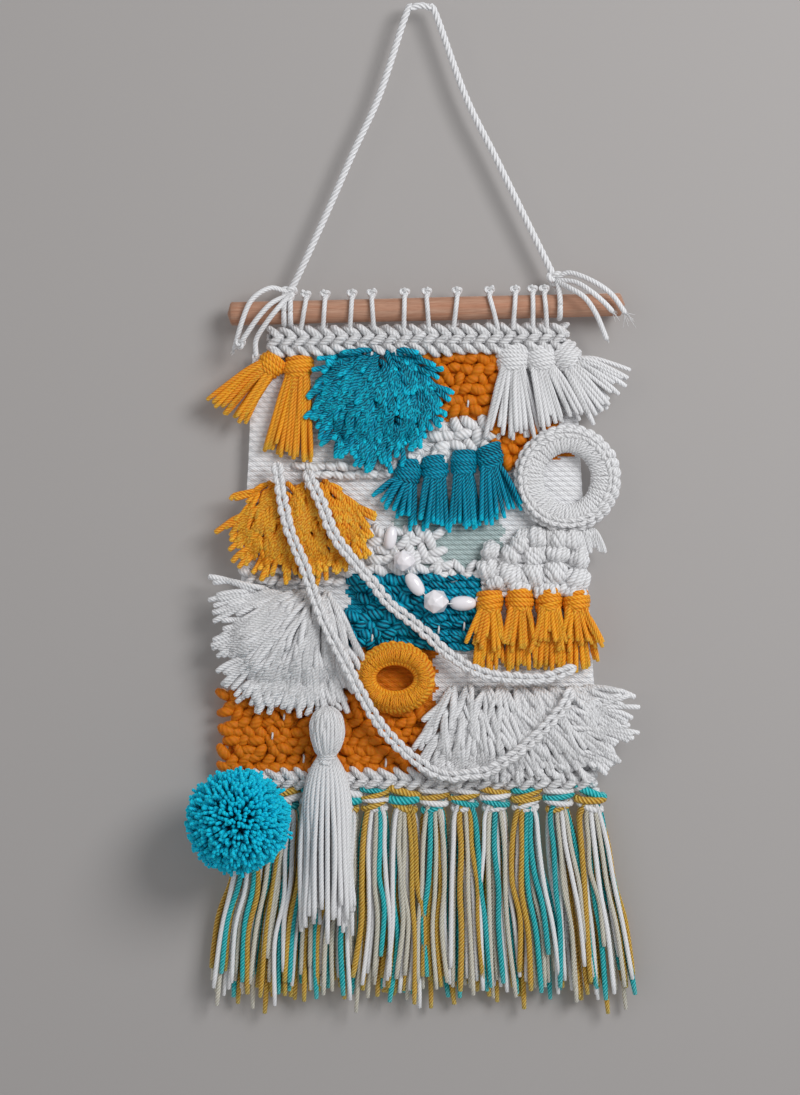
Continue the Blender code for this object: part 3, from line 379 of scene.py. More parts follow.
def make_yarn(name, colour, deep, pale, uneven, tip, bump, sheen, woven=False):
    """A yarn's finish: the plies and fibres as a bump, and over them the dye with painted shade in the
    grooves and a painted highlight on the plies.
    """
    material, tree, shader = principled(
        name, 0.58, Sheen_Weight=sheen, Sheen_Roughness=0.5, Specular_IOR_Level=0.2,
        Subsurface_Weight=0.3, Subsurface_Scale=0.0022,
    )
    shader.inputs["Sheen Tint"].default_value = linear(*pale)
    shader.inputs["Subsurface Radius"].default_value = linear(*pale)[:3]
    strand = wire(tree, "Attribute", attribute_name="strand").outputs["Vector"]
    plies = tree.nodes.new("ShaderNodeGroup")
    plies.node_tree = plies_group
    groove, height = plies.outputs["Groove"], plies.outputs["Height"]
    if woven:
        rows = tree.nodes.new("ShaderNodeGroup")
        rows.node_tree = rows_group
        tree.links.new(wire(tree, "TexCoord").outputs["Object"], rows.inputs["Place"])
        lay = rows.outputs["Lay"]
        # The edges between the weft rows take the groove colour too: painted shade between the rows.
        groove = maths(tree, "MAXIMUM", maths(tree, "MULTIPLY", groove, 0.45), rows.outputs["Gap"])
        height = maths(tree, "MULTIPLY_ADD", rows.outputs["Gap"], -1.8, height)
    else:
        lay = wire(tree, "Attribute", attribute_name="lay").outputs["Vector"]
    tree.links.new(lay, plies.inputs["Lay"])
    # This node also paints shade into the grooves and a highlight on the crowns of the plies.
    dyed_and_painted_light = tree.nodes.new("ShaderNodeGroup")
    dyed_and_painted_light.node_tree = dye_and_painted_light_group
    for label, value in (("Colour", colour), ("Painted shade and uneven dye", deep), ("Pale and painted highlight", pale)):
        dyed_and_painted_light.inputs[label].default_value = linear(*value)
    dyed_and_painted_light.inputs["Unevenness"].default_value = uneven
    dyed_and_painted_light.inputs["Tip"].default_value = tip
    tree.links.new(strand, dyed_and_painted_light.inputs["Strand"])
    tree.links.new(groove, dyed_and_painted_light.inputs["Groove"])
    tree.links.new(plies.outputs["Fibre"], dyed_and_painted_light.inputs["Fibre"])
    tree.links.new(dyed_and_painted_light.outputs["Colour"], shader.inputs["Base Color"])
    relief = wire(tree, "Bump", bump, 0.0012)
    tree.links.new(height, relief.inputs["Height"])
    tree.links.new(relief.outputs["Normal"], shader.inputs["Normal"])
    return material


# The second colour is painted shade, mixed into the grooves between the plies and near the strands' roots. It
# also gives each strand's random tone. The third is the paler colour of loose fibres and cut tips, and a
# painted highlight on the crowns of the plies.
DYES = {  # colour, in the grooves, of loose fibres, unevenness, pale tips, relief, sheen
    "white": ((234, 234, 236), (190, 187, 185), (253, 253, 255), 0.2, 0.3, 0.45, 0.1),
    # White yarn made darker and greenish for the middle block of the cloth: painted shade and a painted teal
    # reflection.
    "white_painted_shade_and_reflection": ((182, 200, 199), (138, 158, 157), (210, 223, 222), 0.3, 0.2, 0.6, 0.05),
    "cream": ((226, 221, 206), (150, 140, 112), (246, 243, 234), 0.4, 0.3, 0.7, 0.05),
    "yellow": ((250, 162, 20), (200, 84, 0), (255, 208, 84), 0.5, 0.5, 0.4, 0.02),
    "orange": ((206, 116, 14), (198, 104, 8), (212, 126, 24), 0.2, 0.2, 0.3, 0.02),
    "teal": ((0, 126, 158), (0, 40, 64), (14, 216, 250), 0.9, 1.0, 0.45, 0.0),
    "aqua": ((0, 212, 220), (0, 50, 62), (150, 255, 255), 0.3, 0.4, 1.0, 0.02),
    "gold": ((250, 192, 68), (118, 60, 0), (255, 236, 150), 0.3, 0.4, 1.0, 0.02),
}
YARNS = {dye: make_yarn("yarn_" + dye, *values) for dye, values in DYES.items()}
for dye in ("white", "orange", "teal", "white_painted_shade_and_reflection"):
    YARNS["cloth_" + dye] = make_yarn("cloth_" + dye, *DYES[dye], woven=True)
print("yarns:", ", ".join(YARNS))

# %% [markdown]
# The room is a pale wall close behind the piece, a pale floor under it and an even sky. A broad
# soft light comes from the upper right, a weak one from the left, and one lights the back. Wall and
# floor are seen from one side alone and take no part in the light, so the back of the weave can be
# looked at and lit from behind.


# %% Wall, floor and lights
def make_stage(name, corners, colour):
    mesh = bpy.data.meshes.new(name)
    mesh.from_pydata(corners, [], [(0, 1, 2, 3)])
    plane = bpy.data.objects.new(name, mesh)
    bpy.context.scene.collection.objects.link(plane)
    material, tree, shader = principled(name, 0.9)
    shader.inputs["Base Color"].default_value = linear(*colour)
    in_front = maths(tree, "SUBTRACT", 1.0, wire(tree, "NewGeometry").outputs["Backfacing"])
    seen = maths(tree, "MULTIPLY", wire(tree, "LightPath").outputs["Is Camera Ray"], in_front)
    clear = wire(tree, "BsdfTransparent").outputs[0]
    both = wire(tree, "MixShader", seen, clear, shader.outputs[0])
    tree.links.new(both.outputs[0], tree.nodes["Material Output"].inputs["Surface"])
    mesh.materials.append(material)
    plane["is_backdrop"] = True


WALL_Y, FLOOR_Z = 0.0115, -0.62
make_stage("wall", [(-3, WALL_Y, -3), (3, WALL_Y, -3), (3, WALL_Y, 3), (-3, WALL_Y, 3)], (166, 162, 160))
make_stage("floor", [(-3, -3, FLOOR_Z), (3, -3, FLOOR_Z), (3, 3, FLOOR_Z), (-3, 3, FLOOR_Z)], (222, 218, 214))


def make_light(name, at, aim, size, power, colour):
    light = bpy.data.lights.new(name, "AREA")
    light.shape, light.size, light.energy, light.color = "DISK", size, power, colour
    holder = bpy.data.objects.new(name, light)
    holder.location = at
    holder.rotation_euler = (Vector(aim) - Vector(at)).to_track_quat("-Z", "Y").to_euler()
    bpy.context.scene.collection.objects.link(holder)


make_light("key", (0.8, -1.15, 0.3), (0.0, 0.0, -0.28), 0.75, 15.6, (0.98, 0.99, 1.0))
make_light("fill", (-0.9, -1.2, 0.1), (0.0, 0.0, -0.28), 1.0, 1.4, (1.0, 0.95, 0.9))
make_light("rear", (0.4, 1.6, 0.4), (0.0, 0.0, -0.28), 1.2, 9.0, (1.0, 1.0, 1.0))
world = bpy.data.worlds.new("sky")
bpy.context.scene.world = world
world.use_nodes = True
world.node_tree.nodes["Background"].inputs["Color"].default_value = (0.97, 0.98, 1.0, 1.0)
world.node_tree.nodes["Background"].inputs["Strength"].default_value = 0.42
bpy.context.scene.view_settings.view_transform = "Standard"

# %% [markdown]
# The hanging cord is white yarn, taut from its left knot over the top bend to its right knot. It
# stands free of the rest, so its four plies are modelled. Its route is the one that the part's
# source follows. Each end runs on a little way into its knot, as the real cord does.

# %% The hanging cord
DOWEL_RADIUS, DOWEL_DEPTH = 6.0, 6.0
DOWEL_ENDS = ((-97.5, -156.1), (102.5, -151.3))
CORD_DIAMETER = 3.5
LEFT_KNOT, RIGHT_KNOT = (-67.5, -145.6), (68.6, -138.0)
BEND_RADIUS = 8.75
BEND = [
    (BEND_RADIUS * math.cos(math.radians(a)), BEND_RADIUS * math.sin(math.radians(a)) - 7.0)
    for a in range(150, 0, -30)
]
CORD_ROUTE = [(-66.3, -143.2), (-61.4, -133.5), (-47.8, -103.6), (-34.7, -73.6), (-21.2, -44.0)]
CORD_ROUTE += BEND + [(22.8, -44.6), (38.0, -75.5), (53.2, -106.6), (67.6, -135.9)]


def cord_length(path):
    return float(np.linalg.norm(np.diff(path, axis=0), axis=1).sum())


route = evenly(through([(x, DOWEL_DEPTH, z) for x, z in CORD_ROUTE], 200), 0.95)
cord = Skein(1)
spin(cord, route, CORD_DIAMETER / 2 * 0.93, sides=16, lobe=0.11, turn=13.0)
hanging_cord = finish_piece("hanging_cord_yarn", cord, ["white"], ["hanging_cord"])
cord_path = place(route) * MM
print("cord length, m:", round(cord_length(cord_path), 4))

# %% [markdown]
# Each end of the cord is tied to the dowel: coils wound on the wood, an overhand knot and three
# loose tails that end in a little loose fibre. The knot is a trefoil, which is what an overhand
# knot becomes when it is pulled tight.


# %% The two ties of the cord
def dowel_height(x):
    return float(np.interp(x, [e[0] for e in DOWEL_ENDS], [e[1] for e in DOWEL_ENDS]))


def wound(x, reach, top, pull):
    """A turn round the dowel, drawn out at its top by some millimetres and sideways by a pull."""
    a = np.linspace(0, 2 * math.pi, 44)
    up = np.maximum(0.0, np.sin(a)) ** 3
    flat = 1.0 - 0.17 * np.maximum(0.0, -np.sin(a)) ** 2
    high = dowel_height(x) + (reach * flat + top * up) * np.sin(a)
    return np.column_stack([x + pull * up, DOWEL_DEPTH + reach * np.cos(a), high])


def overhand(x, depth, z, size, rings=60):
    """A trefoil knot's path."""
    t = np.linspace(0, 2 * math.pi, rings)
    return np.column_stack([
        x + size * (np.sin(t) + 2 * np.sin(2 * t)),
        depth - 1.1 * size * np.sin(3 * t),
        z + size * (np.cos(t) - 2 * np.cos(2 * t)),
    ])


def fray(skein, at, way, length):
    """Loose fibres at the cut end of a strand."""
    count = 12
    way = unit(np.array(way, float))
    spread = skein.rng.normal(0, 0.45, (count, 3))
    ends = np.array(at) + (way + spread) * length * skein.rng.uniform(0.5, 1.1, (count, 1))
    starts = np.array(at) - way * 0.5 + skein.rng.normal(0, 0.4, (count, 3))
    paths = np.linspace(0, 1, 4)[None, :, None] * (ends - starts)[:, None] + starts[:, None]
    spin(skein, paths, np.linspace(0.22, 0.12, 4), sides=4)


LEFT_TAILS = (
    ((-68.5, 7, -145), (-77, 12.5, -143.5), (-86, 14.6, -149.5), (-91, 13.5, -160), (-95.4, 10, -175)),
    ((-67.8, 8, -146.6), (-76, 16, -151.5), (-82.5, 17.5, -158.5), (-88, 16, -166), (-92, 14.5, -172)),
    ((-67.2, 8.5, -147), (-72, 19.2, -153.5), (-78, 19.5, -161), (-83.8, 16, -170), (-84, 13.5, -178.5)),
)
RIGHT_TAILS = (
    ((69.5, 6.5, -137.6), (76, 9, -135.4), (87, 15, -140), (96.7, 16.5, -146.8), (104, 15, -156.5)),
    ((69.6, 7, -139), (78.5, 13, -140.5), (86, 18.6, -145.5), (92.5, 19.4, -151), (97.4, 18, -156)),
    ((69.4, 7.5, -139.8), (76, 16.5, -144), (83, 20.4, -149), (89, 19, -157.5), (94.6, 15, -170)),
)


def make_tie(name, knot, coils, top, tails, frays):
    skein = Skein(len(name))
    for x in coils:
        spin(skein, wound(x, DOWEL_RADIUS + 1.6, top, (knot[0] - x) * 0.5), 1.42, sides=12)
    spin(skein, overhand(knot[0], DOWEL_DEPTH, knot[1], 1.12), 1.5, sides=12)
    for tail, loose in zip(tails, frays):
        path = evenly(through(tail, 60), 1.0)
        spin(skein, path, 1.32, sides=12)
        if loose:
            fray(skein, path[-1], path[-1] - path[-4], loose)
        else:
            spin(skein, overhand(*path[-1], 0.75, 40), 0.95, sides=6)
    finish_piece(name + "_yarn", skein, ["white"], [name])


make_tie("cord_tie_left", LEFT_KNOT, (-69.9, -66.6), 0.6, LEFT_TAILS, (2.0, 0.0, 1.5))
make_tie("cord_tie_right", RIGHT_KNOT, (70.9,), 5.6, RIGHT_TAILS, (6.0, 3.0, 1.5))

# %% [markdown]
# The warp ends go over the dowel and are knotted on top of it, with a short cut end each.

# %% The warp ties
WARP_TIES = (
    (-58.8, -61.5), (-49.0, -50.1), (-35.3, -36.3), (-25.1, -24.0), (-8.4, -8.8), (2.9, 4.1),
    (18.4, 16.6), (35.0, 39.4), (48.1, 47.0), (57.0, 57.2), (63.0, 64.4),
)
HEAD_Z = -163.0
skein = Skein(5)
for knot_x, foot_x in WARP_TIES:
    axis, reach = dowel_height(knot_x), DOWEL_RADIUS + 1.5
    path = [(foot_x, DOWEL_DEPTH + 3.6, HEAD_Z - 1.5)]
    for angle in (-38, 0, 42, 70, 106, 142, 180, 218):
        a = math.radians(angle)
        share = min(1.0, max(0.0, (angle + 90) / 130))
        x = foot_x + (knot_x - foot_x) * share
        path.append((x, DOWEL_DEPTH + reach * math.cos(a), axis + reach * math.sin(a)))
    path.append((knot_x, DOWEL_DEPTH - 3.6, HEAD_Z - 1.5))
    spin(skein, evenly(through(path, 80), 0.9), 1.25)
    top = (knot_x, DOWEL_DEPTH + 1.6, axis + reach + 0.9)
    spin(skein, overhand(*top, 0.72, 44), 1.0)
    lean = skein.rng.uniform(-1, 1)
    loose = np.array(top) + [(0, 0, 0), (lean, 0.5, 1.6), (2.4 * lean, 1.0, 2.3)]
    spin(skein, through(loose, 7), 1.0)
nodes = [f"warp_tie_{number:02d}" for number in range(1, len(WARP_TIES) + 1)]
finish_piece("warp_tie_yarn", skein, ["white"], nodes)

# %% [markdown]
# The dowel is a bare rod of pale wood with grain along its length. It gets more
# sides than its solid, so its outline is round, and rings that stray a little, as on hand sanded
# wood. The grain is a noise stretched along the rod, in the same straightened places as the yarn.

# %% The dowel
wood, tree, shader = principled("wood_bare", 0.6, Specular_IOR_Level=0.35)
lay = wire(tree, "Attribute", attribute_name="lay").outputs["Vector"]


def grain(across, along, size, detail, roughness):
    """A noise that is drawn out along the rod."""
    drawn = wire(tree, "Mapping", lay, None, None, (across, across, along)).outputs[0]
    return wire(tree, "TexNoise", drawn, None, size, detail, roughness).outputs[0]


fine = grain(1.0, 0.035, 2.6, 5.0, 0.6)
broad = grain(0.3, 0.012, 1.6, 3.0, 0.5)
pores = grain(3.4, 0.09, 2.0, 2.0, 0.7)
tone = wire(tree, "ValToRGB", fine)
early, late = tone.color_ramp.elements
early.position, late.position = 0.32, 0.7
early.color, late.color = linear(160, 116, 92), linear(198, 158, 134)
patch = wire(tree, "MapRange", broad, 0.35, 0.7, 0.0, 0.6).outputs[0]
warm = blend(tree, patch, tone.outputs[0], linear(176, 116, 84))
line = wire(tree, "MapRange", pores, 0.58, 0.75, 0.0, 0.55).outputs[0]
tree.links.new(blend(tree, line, warm, linear(126, 86, 64)), shader.inputs["Base Color"])
relief = wire(tree, "Bump", 0.5, 0.0004)
tree.links.new(maths(tree, "SUBTRACT", fine, line), relief.inputs["Height"])
tree.links.new(relief.outputs["Normal"], shader.inputs["Normal"])
rough = wire(tree, "MapRange", fine, 0.3, 0.7, 0.72, 0.5).outputs[0]
tree.links.new(rough, shader.inputs["Roughness"])
YARNS["wood"] = wood
t = np.linspace(0, 1, 90)
ends = np.array([(x, DOWEL_DEPTH, z) for x, z in DOWEL_ENDS])
rod = ends[0] + t[:, None] * (ends[1] - ends[0])
inset = np.minimum(np.arange(90), np.arange(90)[::-1])
rod[1], rod[-2] = rod[0] + (rod[1] - rod[0]) * 0.35, rod[-1] - (rod[-1] - rod[-2]) * 0.35
girth = DOWEL_RADIUS - np.where(inset == 0, 0.9, 0.0) - 0.12 * np.sin(5.0 * t) ** 2
skein = Skein(3)
spin(skein, rod, girth, sides=40, cut=1.0)
finish_piece("dowel_wood", skein, ["wood"], ["dowel"])

# %% [markdown]
# The cloth is tapestry: white warp ends hang from the dowel, and each weft row goes over one and
# under the next, so that it hides them. It is a sheet with two faces, and each face rises where
# its weft goes over a warp. The weft changes colour where a block of colour starts.

# %% The woven cloth
WEAVE_TOP, WEAVE_FOOT = -176.3, -390.5
WEAVE_EDGES = np.array([  # z, left side, right side
    (-176.3, -86.4, 79.0), (-232.0, -88.5, 82.0), (-282.0, -91.5, 84.8),
    (-340.0, -95.5, 88.5), (-390.5, -99.8, 92.3),
])
WARPS, ROWS = 58, 85
ROW_GAP = (WEAVE_TOP - WEAVE_FOOT) / ROWS
# The block of dye 3 is white weft drawn darker and greenish: painted shade and a painted teal reflection.
BLOCKS = (  # left, right, top, foot, dye of the weft
    (2, 50, -176, -211, 1), (37, 70, -203, -231, 1), (67, 79, -224, -229, 1), (-37, 30, -289, -327, 2),
    (-104, 3, -348, -392, 1), (-33, 7, -327, -362, 1), (-13, 42, -250, -289, 3),
)
CLOTH_DYES = ["cloth_white", "cloth_orange", "cloth_teal", "cloth_white_painted_shade_and_reflection"]


def block_dye(x, z):
    """Which colour of weft lies at a point: the blocks' sides wander by a stitch."""
    for left, right, top, foot, dye in BLOCKS:
        stray = 1.6 * math.sin(0.7 * z)
        if left + stray < x < right + stray and foot < z < top:
            return dye
    return 0


def weave_edge(z, column):
    return np.interp(-z, -WEAVE_EDGES[:, 0], WEAVE_EDGES[:, column])


def cloth_points(face):
    """One face of the cloth, 1 for its front and -1 for its back: three points to a row, two to a warp."""
    down = np.arange(3 * ROWS + 1)
    z = WEAVE_TOP - ROW_GAP * down / 3
    left, right = weave_edge(z, 1), weave_edge(z, 2)
    across = np.linspace(0, 1, 2 * WARPS + 1)
    x = left[:, None] + (right - left)[:, None] * across
    crown = (down % 3 > 0)[:, None]
    over = np.cos(math.pi * (np.arange(2 * WARPS + 1) / 2 + (down // 3)[:, None])) * crown
    edge = np.sin(math.pi * across) ** 0.15
    depth = 2.5 + face * (0.8 + 0.75 * crown) * edge + 0.75 * over
    wave = 0.22 * np.sin(0.11 * x + 0.9 * (down // 3)[:, None])
    return np.stack([x, depth, z[:, None] + wave], -1)


front, back = cloth_points(1), cloth_points(-1)
high, wide = front.shape[:2]
index = np.arange(high * wide).reshape(high, wide)


def grid_faces(ids):
    return np.stack([ids[:-1, :-1], ids[1:, :-1], ids[1:, 1:], ids[:-1, 1:]], -1).reshape(-1, 4)


rim = np.concatenate([index[:, 0], index[-1, 1:], index[-2::-1, -1], index[0, -2:0:-1]])
after = np.roll(rim, -1)
behind = high * wide  # from a point of the front to the same point of the back
selvage = np.stack([rim, rim + behind, after + behind, after], -1)
faces = np.concatenate([grid_faces(index), grid_faces(index)[:, ::-1] + behind, selvage])
points = np.concatenate([front.reshape(-1, 3), back.reshape(-1, 3)])
skein = Skein(11)
shade = np.repeat(np.repeat(skein.rng.random(ROWS + 1), 3)[:high], wide)
strand = np.stack([np.tile(shade, 2), np.zeros(len(points)), np.zeros(len(points))], -1)
middle = points[faces].mean(1)
dyes = np.array([block_dye(x, z) for x, _, z in middle])
skein.add(place(points), faces, np.zeros_like(points), strand, dyes)
cloth = finish_piece("woven_cloth", skein, CLOTH_DYES, ["woven_panel"])

# %% [markdown]
# On top of the plain rows the maker laid thicker stitches: slanted rows of soumak, which lean
# one way and then the other, and soft bobbles. Each is one short plump arc of yarn out of the
# cloth and back. Where shag, a ring or loop pile lies over the cloth there are none. Three small
# knots and a few flecks of bare warp lie between them.


# %% Looking up the CAD's surface
def surface(*nodes):
    """A search tree of some nodes' faces."""
    points, faces = [], []
    for node in nodes:
        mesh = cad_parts[node].data
        faces += [[len(points) + v for v in face.vertices] for face in mesh.polygons]
        points += [tuple(v.co) for v in mesh.vertices]
    return BVHTree.FromPolygons(points, faces)


def front_depth(tree, x, z):
    """The depth of the surface's front at x and z, or None beside it."""
    hit = tree.ray_cast(Vector((x * MM, -0.3, z * MM)), Vector((0.0, 1.0, 0.0)))
    return None if hit[0] is None else BACK_Y - hit[0].y / MM


SHAGS = ["teal_shag", "yellow_shag_left", "white_shag_left", "yellow_rya_right", "white_shag_right"]
OVER = surface(*SHAGS, "ring_white", "ring_orange", "loop_pile")


def jitter(skein, points, amount):
    return points + skein.rng.normal(0, amount, points.shape)


def raised(skein, left, right, top, foot, gap, row_gap, radius, lean, dye, stray):
    """Rows of plump stitches over a part of the cloth: a stray of 1 sets them every which way."""
    paths = []
    for row, z in enumerate(np.arange(top - row_gap / 2, foot, -row_gap)):
        k = lean * (1 if row % 2 else -1)
        for x in np.arange(left + (row % 2) * gap / 2, right, gap):
            if front_depth(OVER, x, z) is None:
                high = 8.2 - radius + skein.rng.uniform(-0.5, 0.4)
                rise = [(-0.6, 3.4, -k), (-0.36, high - 0.9, -k * 0.5), (0, high, 0)]
                arc = rise + [(0.36, high - 0.9, k * 0.5), (0.6, 3.4, k)]
                turn = skein.rng.normal(0, stray)
                c, s = math.cos(turn), math.sin(turn)
                u, v = x + skein.rng.normal(0, 0.6), z + skein.rng.normal(0, 0.5)
                paths.append([(u + a * gap * c - e * s, d, v + e * c + a * gap * s) for a, d, e in arc])
    paths = through(jitter(skein, np.array(paths), 0.22), 9)
    girth = radius * np.array([0.7, 0.88, 1.0, 1.08, 1.1, 1.08, 1.0, 0.88, 0.7])
    spin(skein, paths, girth * skein.rng.uniform(0.88, 1.12, (len(paths), 1)), dye, sides=8)
    return len(paths)


# %% Soumak and bobbles
skein = Skein(12)
counts = [
    raised(skein, 2, 50, -176.5, -210, 6.0, 5.2, 2.6, 1.2, 1, 0.8),
    raised(skein, 38, 68, -208, -232, 6.0, 5.2, 2.6, 1.2, 1, 0.8),
    raised(skein, -35, 4, -290, -327, 6.4, 4.6, 2.5, 1.7, 2, 0.6),
    raised(skein, 4, 30, -289.5, -327, 6.2, 3.5, 1.75, 0.3, 2, 0.12),
    raised(skein, -100, 2, -349, -391, 6.2, 4.7, 2.5, 2.0, 1, 0.55),
    raised(skein, 4, 36, -210, -226, 7.0, 5.4, 2.7, 2.2, 0, 0.6),
    raised(skein, -62, -18, -232, -241, 5.6, 4.4, 2.0, 1.6, 0, 0.3),
    raised(skein, -27, 9, -266, -289, 7.0, 4.6, 2.3, 3.0, 0, 0.5),
    raised(skein, -90, -38, -286, -297, 5.6, 4.6, 1.9, 1.6, 0, 0.3),
    raised(skein, 8, 30, -283, -292, 6.0, 4.6, 2.0, 1.6, 0, 0.6),
]
for x, z in ((-14.8, -231.0), (-3.0, -229.0), (10.0, -229.5)):
    spin(skein, overhand(x, 6.4, z, 1.25), 1.7, 0, sides=8)
WARP_FLECKS = (
    (-25, -322), (9, -318), (22, -316), (-60, -384), (-76, -372), (-18, -386), (-70, -362),
    (-46, -352), (24, -202),
)
for x, z in WARP_FLECKS:
    fleck = [(x, 6.0, z + 2.2), (x + 0.2, 8.5, z + 0.9), (x, 8.5, z - 0.9), (x - 0.1, 6.0, z - 2.2)]
    spin(skein, through(fleck, 9), 0.55, 0)
print("raised stitches:", counts)
finish_piece("raised_stitches", skein, ["white", "orange", "teal"])

# %% [markdown]
# A crochet chain is a row of loops, each drawn through the last. Seen from its front it is a
# line of hearts: two legs that bulge apart and dip under the next stitch. The braided rows at the
# head and foot of the cloth are doubled stitches that lean across their row, to the left in one
# row and to the right in the next.


# %% Crochet stitches
LEG = np.array([(-0.12, 0.05, -0.75), (0.2, 0.7, 0.1), (0.6, 1.0, 0.5), (1.0, 0.6, 0.45), (1.38, 0.05, -0.7)])


def along(path, at):
    """The points of a path at some lengths along it, where its points are 0.5 mm apart."""
    return np.column_stack([np.interp(at, np.arange(len(path)) * 0.5, path[:, i]) for i in range(3)])


def crochet(skein, path, pitch, width, radius):
    """A chain of stitches along a path, its front to the viewer."""
    path = evenly(path, 0.5)
    length = 0.5 * (len(path) - 1)
    starts = np.arange(0.0, length - pitch * 0.9, pitch)
    paths = []
    for side in (-1, 1):
        for start in starts:
            centre = along(path, np.clip(start + LEG[:, 0] * pitch, 0, length))
            way = unit(centre[-1] - centre[0])
            across = unit(np.cross(way, (0.0, 1.0, 0.0)))
            leg = centre + across * (side * LEG[:, 1] * (width / 2 - radius))[:, None]
            leg[:, 1] += LEG[:, 2] * radius
            paths.append(leg)
    paths = through(jitter(skein, np.array(paths), radius * 0.11), 10)
    girth = radius * np.interp(np.linspace(0, 1, 10), (0, 0.3, 0.6, 1), (0.75, 1.05, 1.12, 0.75))
    spin(skein, paths, girth * skein.rng.uniform(0.9, 1.1, (len(paths), 1)), sides=8)
    return len(starts)


# %% The braided head and foot rows
SLANT = np.array([  # along the row, up and out
    (0.0, -0.5, -1.3), (0.25, -0.36, 0.35), (0.62, 0.06, 1.0), (1.0, 0.42, 0.4), (1.28, 0.5, -1.3),
])


def slanted_row(skein, line, pitch, tall, radius, slant, out):
    """Doubled stitches along a line, leaning by a slant of 1 or -1, out to the front or, at -1, back."""
    path = evenly(line, 0.5)
    length = 0.5 * (len(path) - 1)
    paths = []
    for start in np.arange(-0.15 * pitch, length - pitch, pitch):
        for share, late in ((-0.11, 0.0), (0.11, 0.105)):
            lean = 1 + skein.rng.normal(0, 0.12)
            leg = along(path, np.clip(start + (SLANT[:, 0] + late) * pitch, 0, length))
            leg[:, 1] += out * SLANT[:, 2] * radius
            leg[:, 2] += slant * tall * (SLANT[:, 1] * lean + share)
            paths.append(leg)
    paths = through(jitter(skein, np.array(paths), radius * 0.1), 11)
    girth = radius * np.interp(np.linspace(0, 1, 11), (0, 0.3, 0.6, 1), (0.7, 1.0, 1.08, 0.7))
    spin(skein, paths, girth * skein.rng.uniform(0.9, 1.1, (len(paths), 1)), sides=8)


def rows_of_braid(name, seed, left, right, heights, rise, pitch, tall, radius):
    skein = Skein(seed)
    for row, z in enumerate(heights):
        for depth, out in ((7.9, 1.0), (4.1, -1.0)):
            ends = [(x, depth, z + rise * x) for x in (left, right)]
            line = through([ends[0], (0, depth, z + 0.3), ends[1]], 40)
            slanted_row(skein, line, pitch, tall, radius, out * (1 if row % 2 else -1), out)
        core = through([(left + 3, 6.0, z + rise * left), (right - 3, 6.0, z + rise * right)], 60)
        spin(skein, core, tall * 0.5, sides=6)
    finish_piece(name + "_yarn", skein, ["white"], [name])


rows_of_braid("braid_head", 21, -78.0, 76.5, (-165.2, -169.6, -174.2), 0.012, 6.6, 4.6, 1.6)
rows_of_braid("braid_foot", 22, -85.5, 93.0, (-392.2, -396.4), 0.0, 7.2, 4.8, 1.65)

# %% [markdown]
# Shag is rows of rya knots: short strands round two warp ends, both ends left long. Every knot
# is a small fan. The white shags hang in rows, upper rows over lower ones. The teal and the yellow
# one are round: their strands turn away from a parting on all sides. All of it stays inside the
# solid's own depth, which is looked up in the CAD so that what lies on the shag stays on top.


# %% The shag
FAN = 22.0  # degrees from the middle strand of a knot to its last
KNOT_GAP = 4.2  # mm between the knots of the round shags
KNOT_STRANDS = 3
BESIDE_DEPTH = 12.4  # how far out the pile may lie where its strands reach past the solid


def press(paths, tree, clear):
    """Holds paths back to the CAD's front, and beside it to a depth of their own."""
    flat = paths.reshape(-1, 3)
    for point in flat:
        front = front_depth(tree, point[0], point[2])
        point[1] = min(point[1], BESIDE_DEPTH if front is None else max(front - clear, 6.0))
    return flat.reshape(paths.shape)


def make_shag(name, seed, rows, each, radius, rings, stray):
    """White pile in rows of z, first x, last x, knots, first and last direction, length and rise."""
    skein = Skein(seed)
    tree = surface(name)
    rng = skein.rng
    starts, ways, lengths, rises = [], [], [], []
    for z, x0, x1, knots, a0, a1, length, rise in rows:
        for t in np.linspace(0, 1, knots):
            for share in np.linspace(-1, 1, each):
                angle = math.radians(a0 + (a1 - a0) * t + share * FAN + rng.normal(0, stray))
                starts.append((x0 + (x1 - x0) * t + share * 1.4, 5.8, z + rng.normal(0, 1.0)))
                ways.append((math.cos(angle), 0.0, math.sin(angle)))
                lengths.append(length * rng.uniform(0.82, 1.12))
                rises.append(rise * rng.uniform(0.55, 1.15))
    lay_pile(skein, starts, ways, lengths, rises, tree, radius, rings, 0.95)
    finish_piece(name + "_yarn", skein, ["white"], [name])


def lay_pile(skein, starts, ways, lengths, rises, tree, radius, rings, lift):
    """Short strands from their knots outwards, held back to the CAD's front."""
    starts, ways = np.array(starts), np.array(ways)
    reach, rise = np.array(lengths)[:, None], np.array(rises)[:, None]
    out, down = np.array([[0.0, 1.0, 0.0]]), np.array([[0.0, 0.0, -1.0]])
    route = [
        starts,
        starts + ways * reach * 0.10 + out * rise * 0.6,
        starts + ways * reach * 0.38 + out * rise,
        starts + ways * reach * 0.72 + out * rise * (0.5 + 0.5 * lift) + down * reach * 0.03,
        starts + ways * reach + out * rise * lift + down * reach * 0.08,
    ]
    paths = through(jitter(skein, np.stack(route, 1), 0.45), rings)
    paths = press(paths, tree, radius * 0.7)
    girth = radius * np.linspace(0.9, 1.06, rings) * skein.rng.uniform(0.88, 1.1, (len(paths), 1))
    spin(skein, paths, girth, 0, cut=0.86)


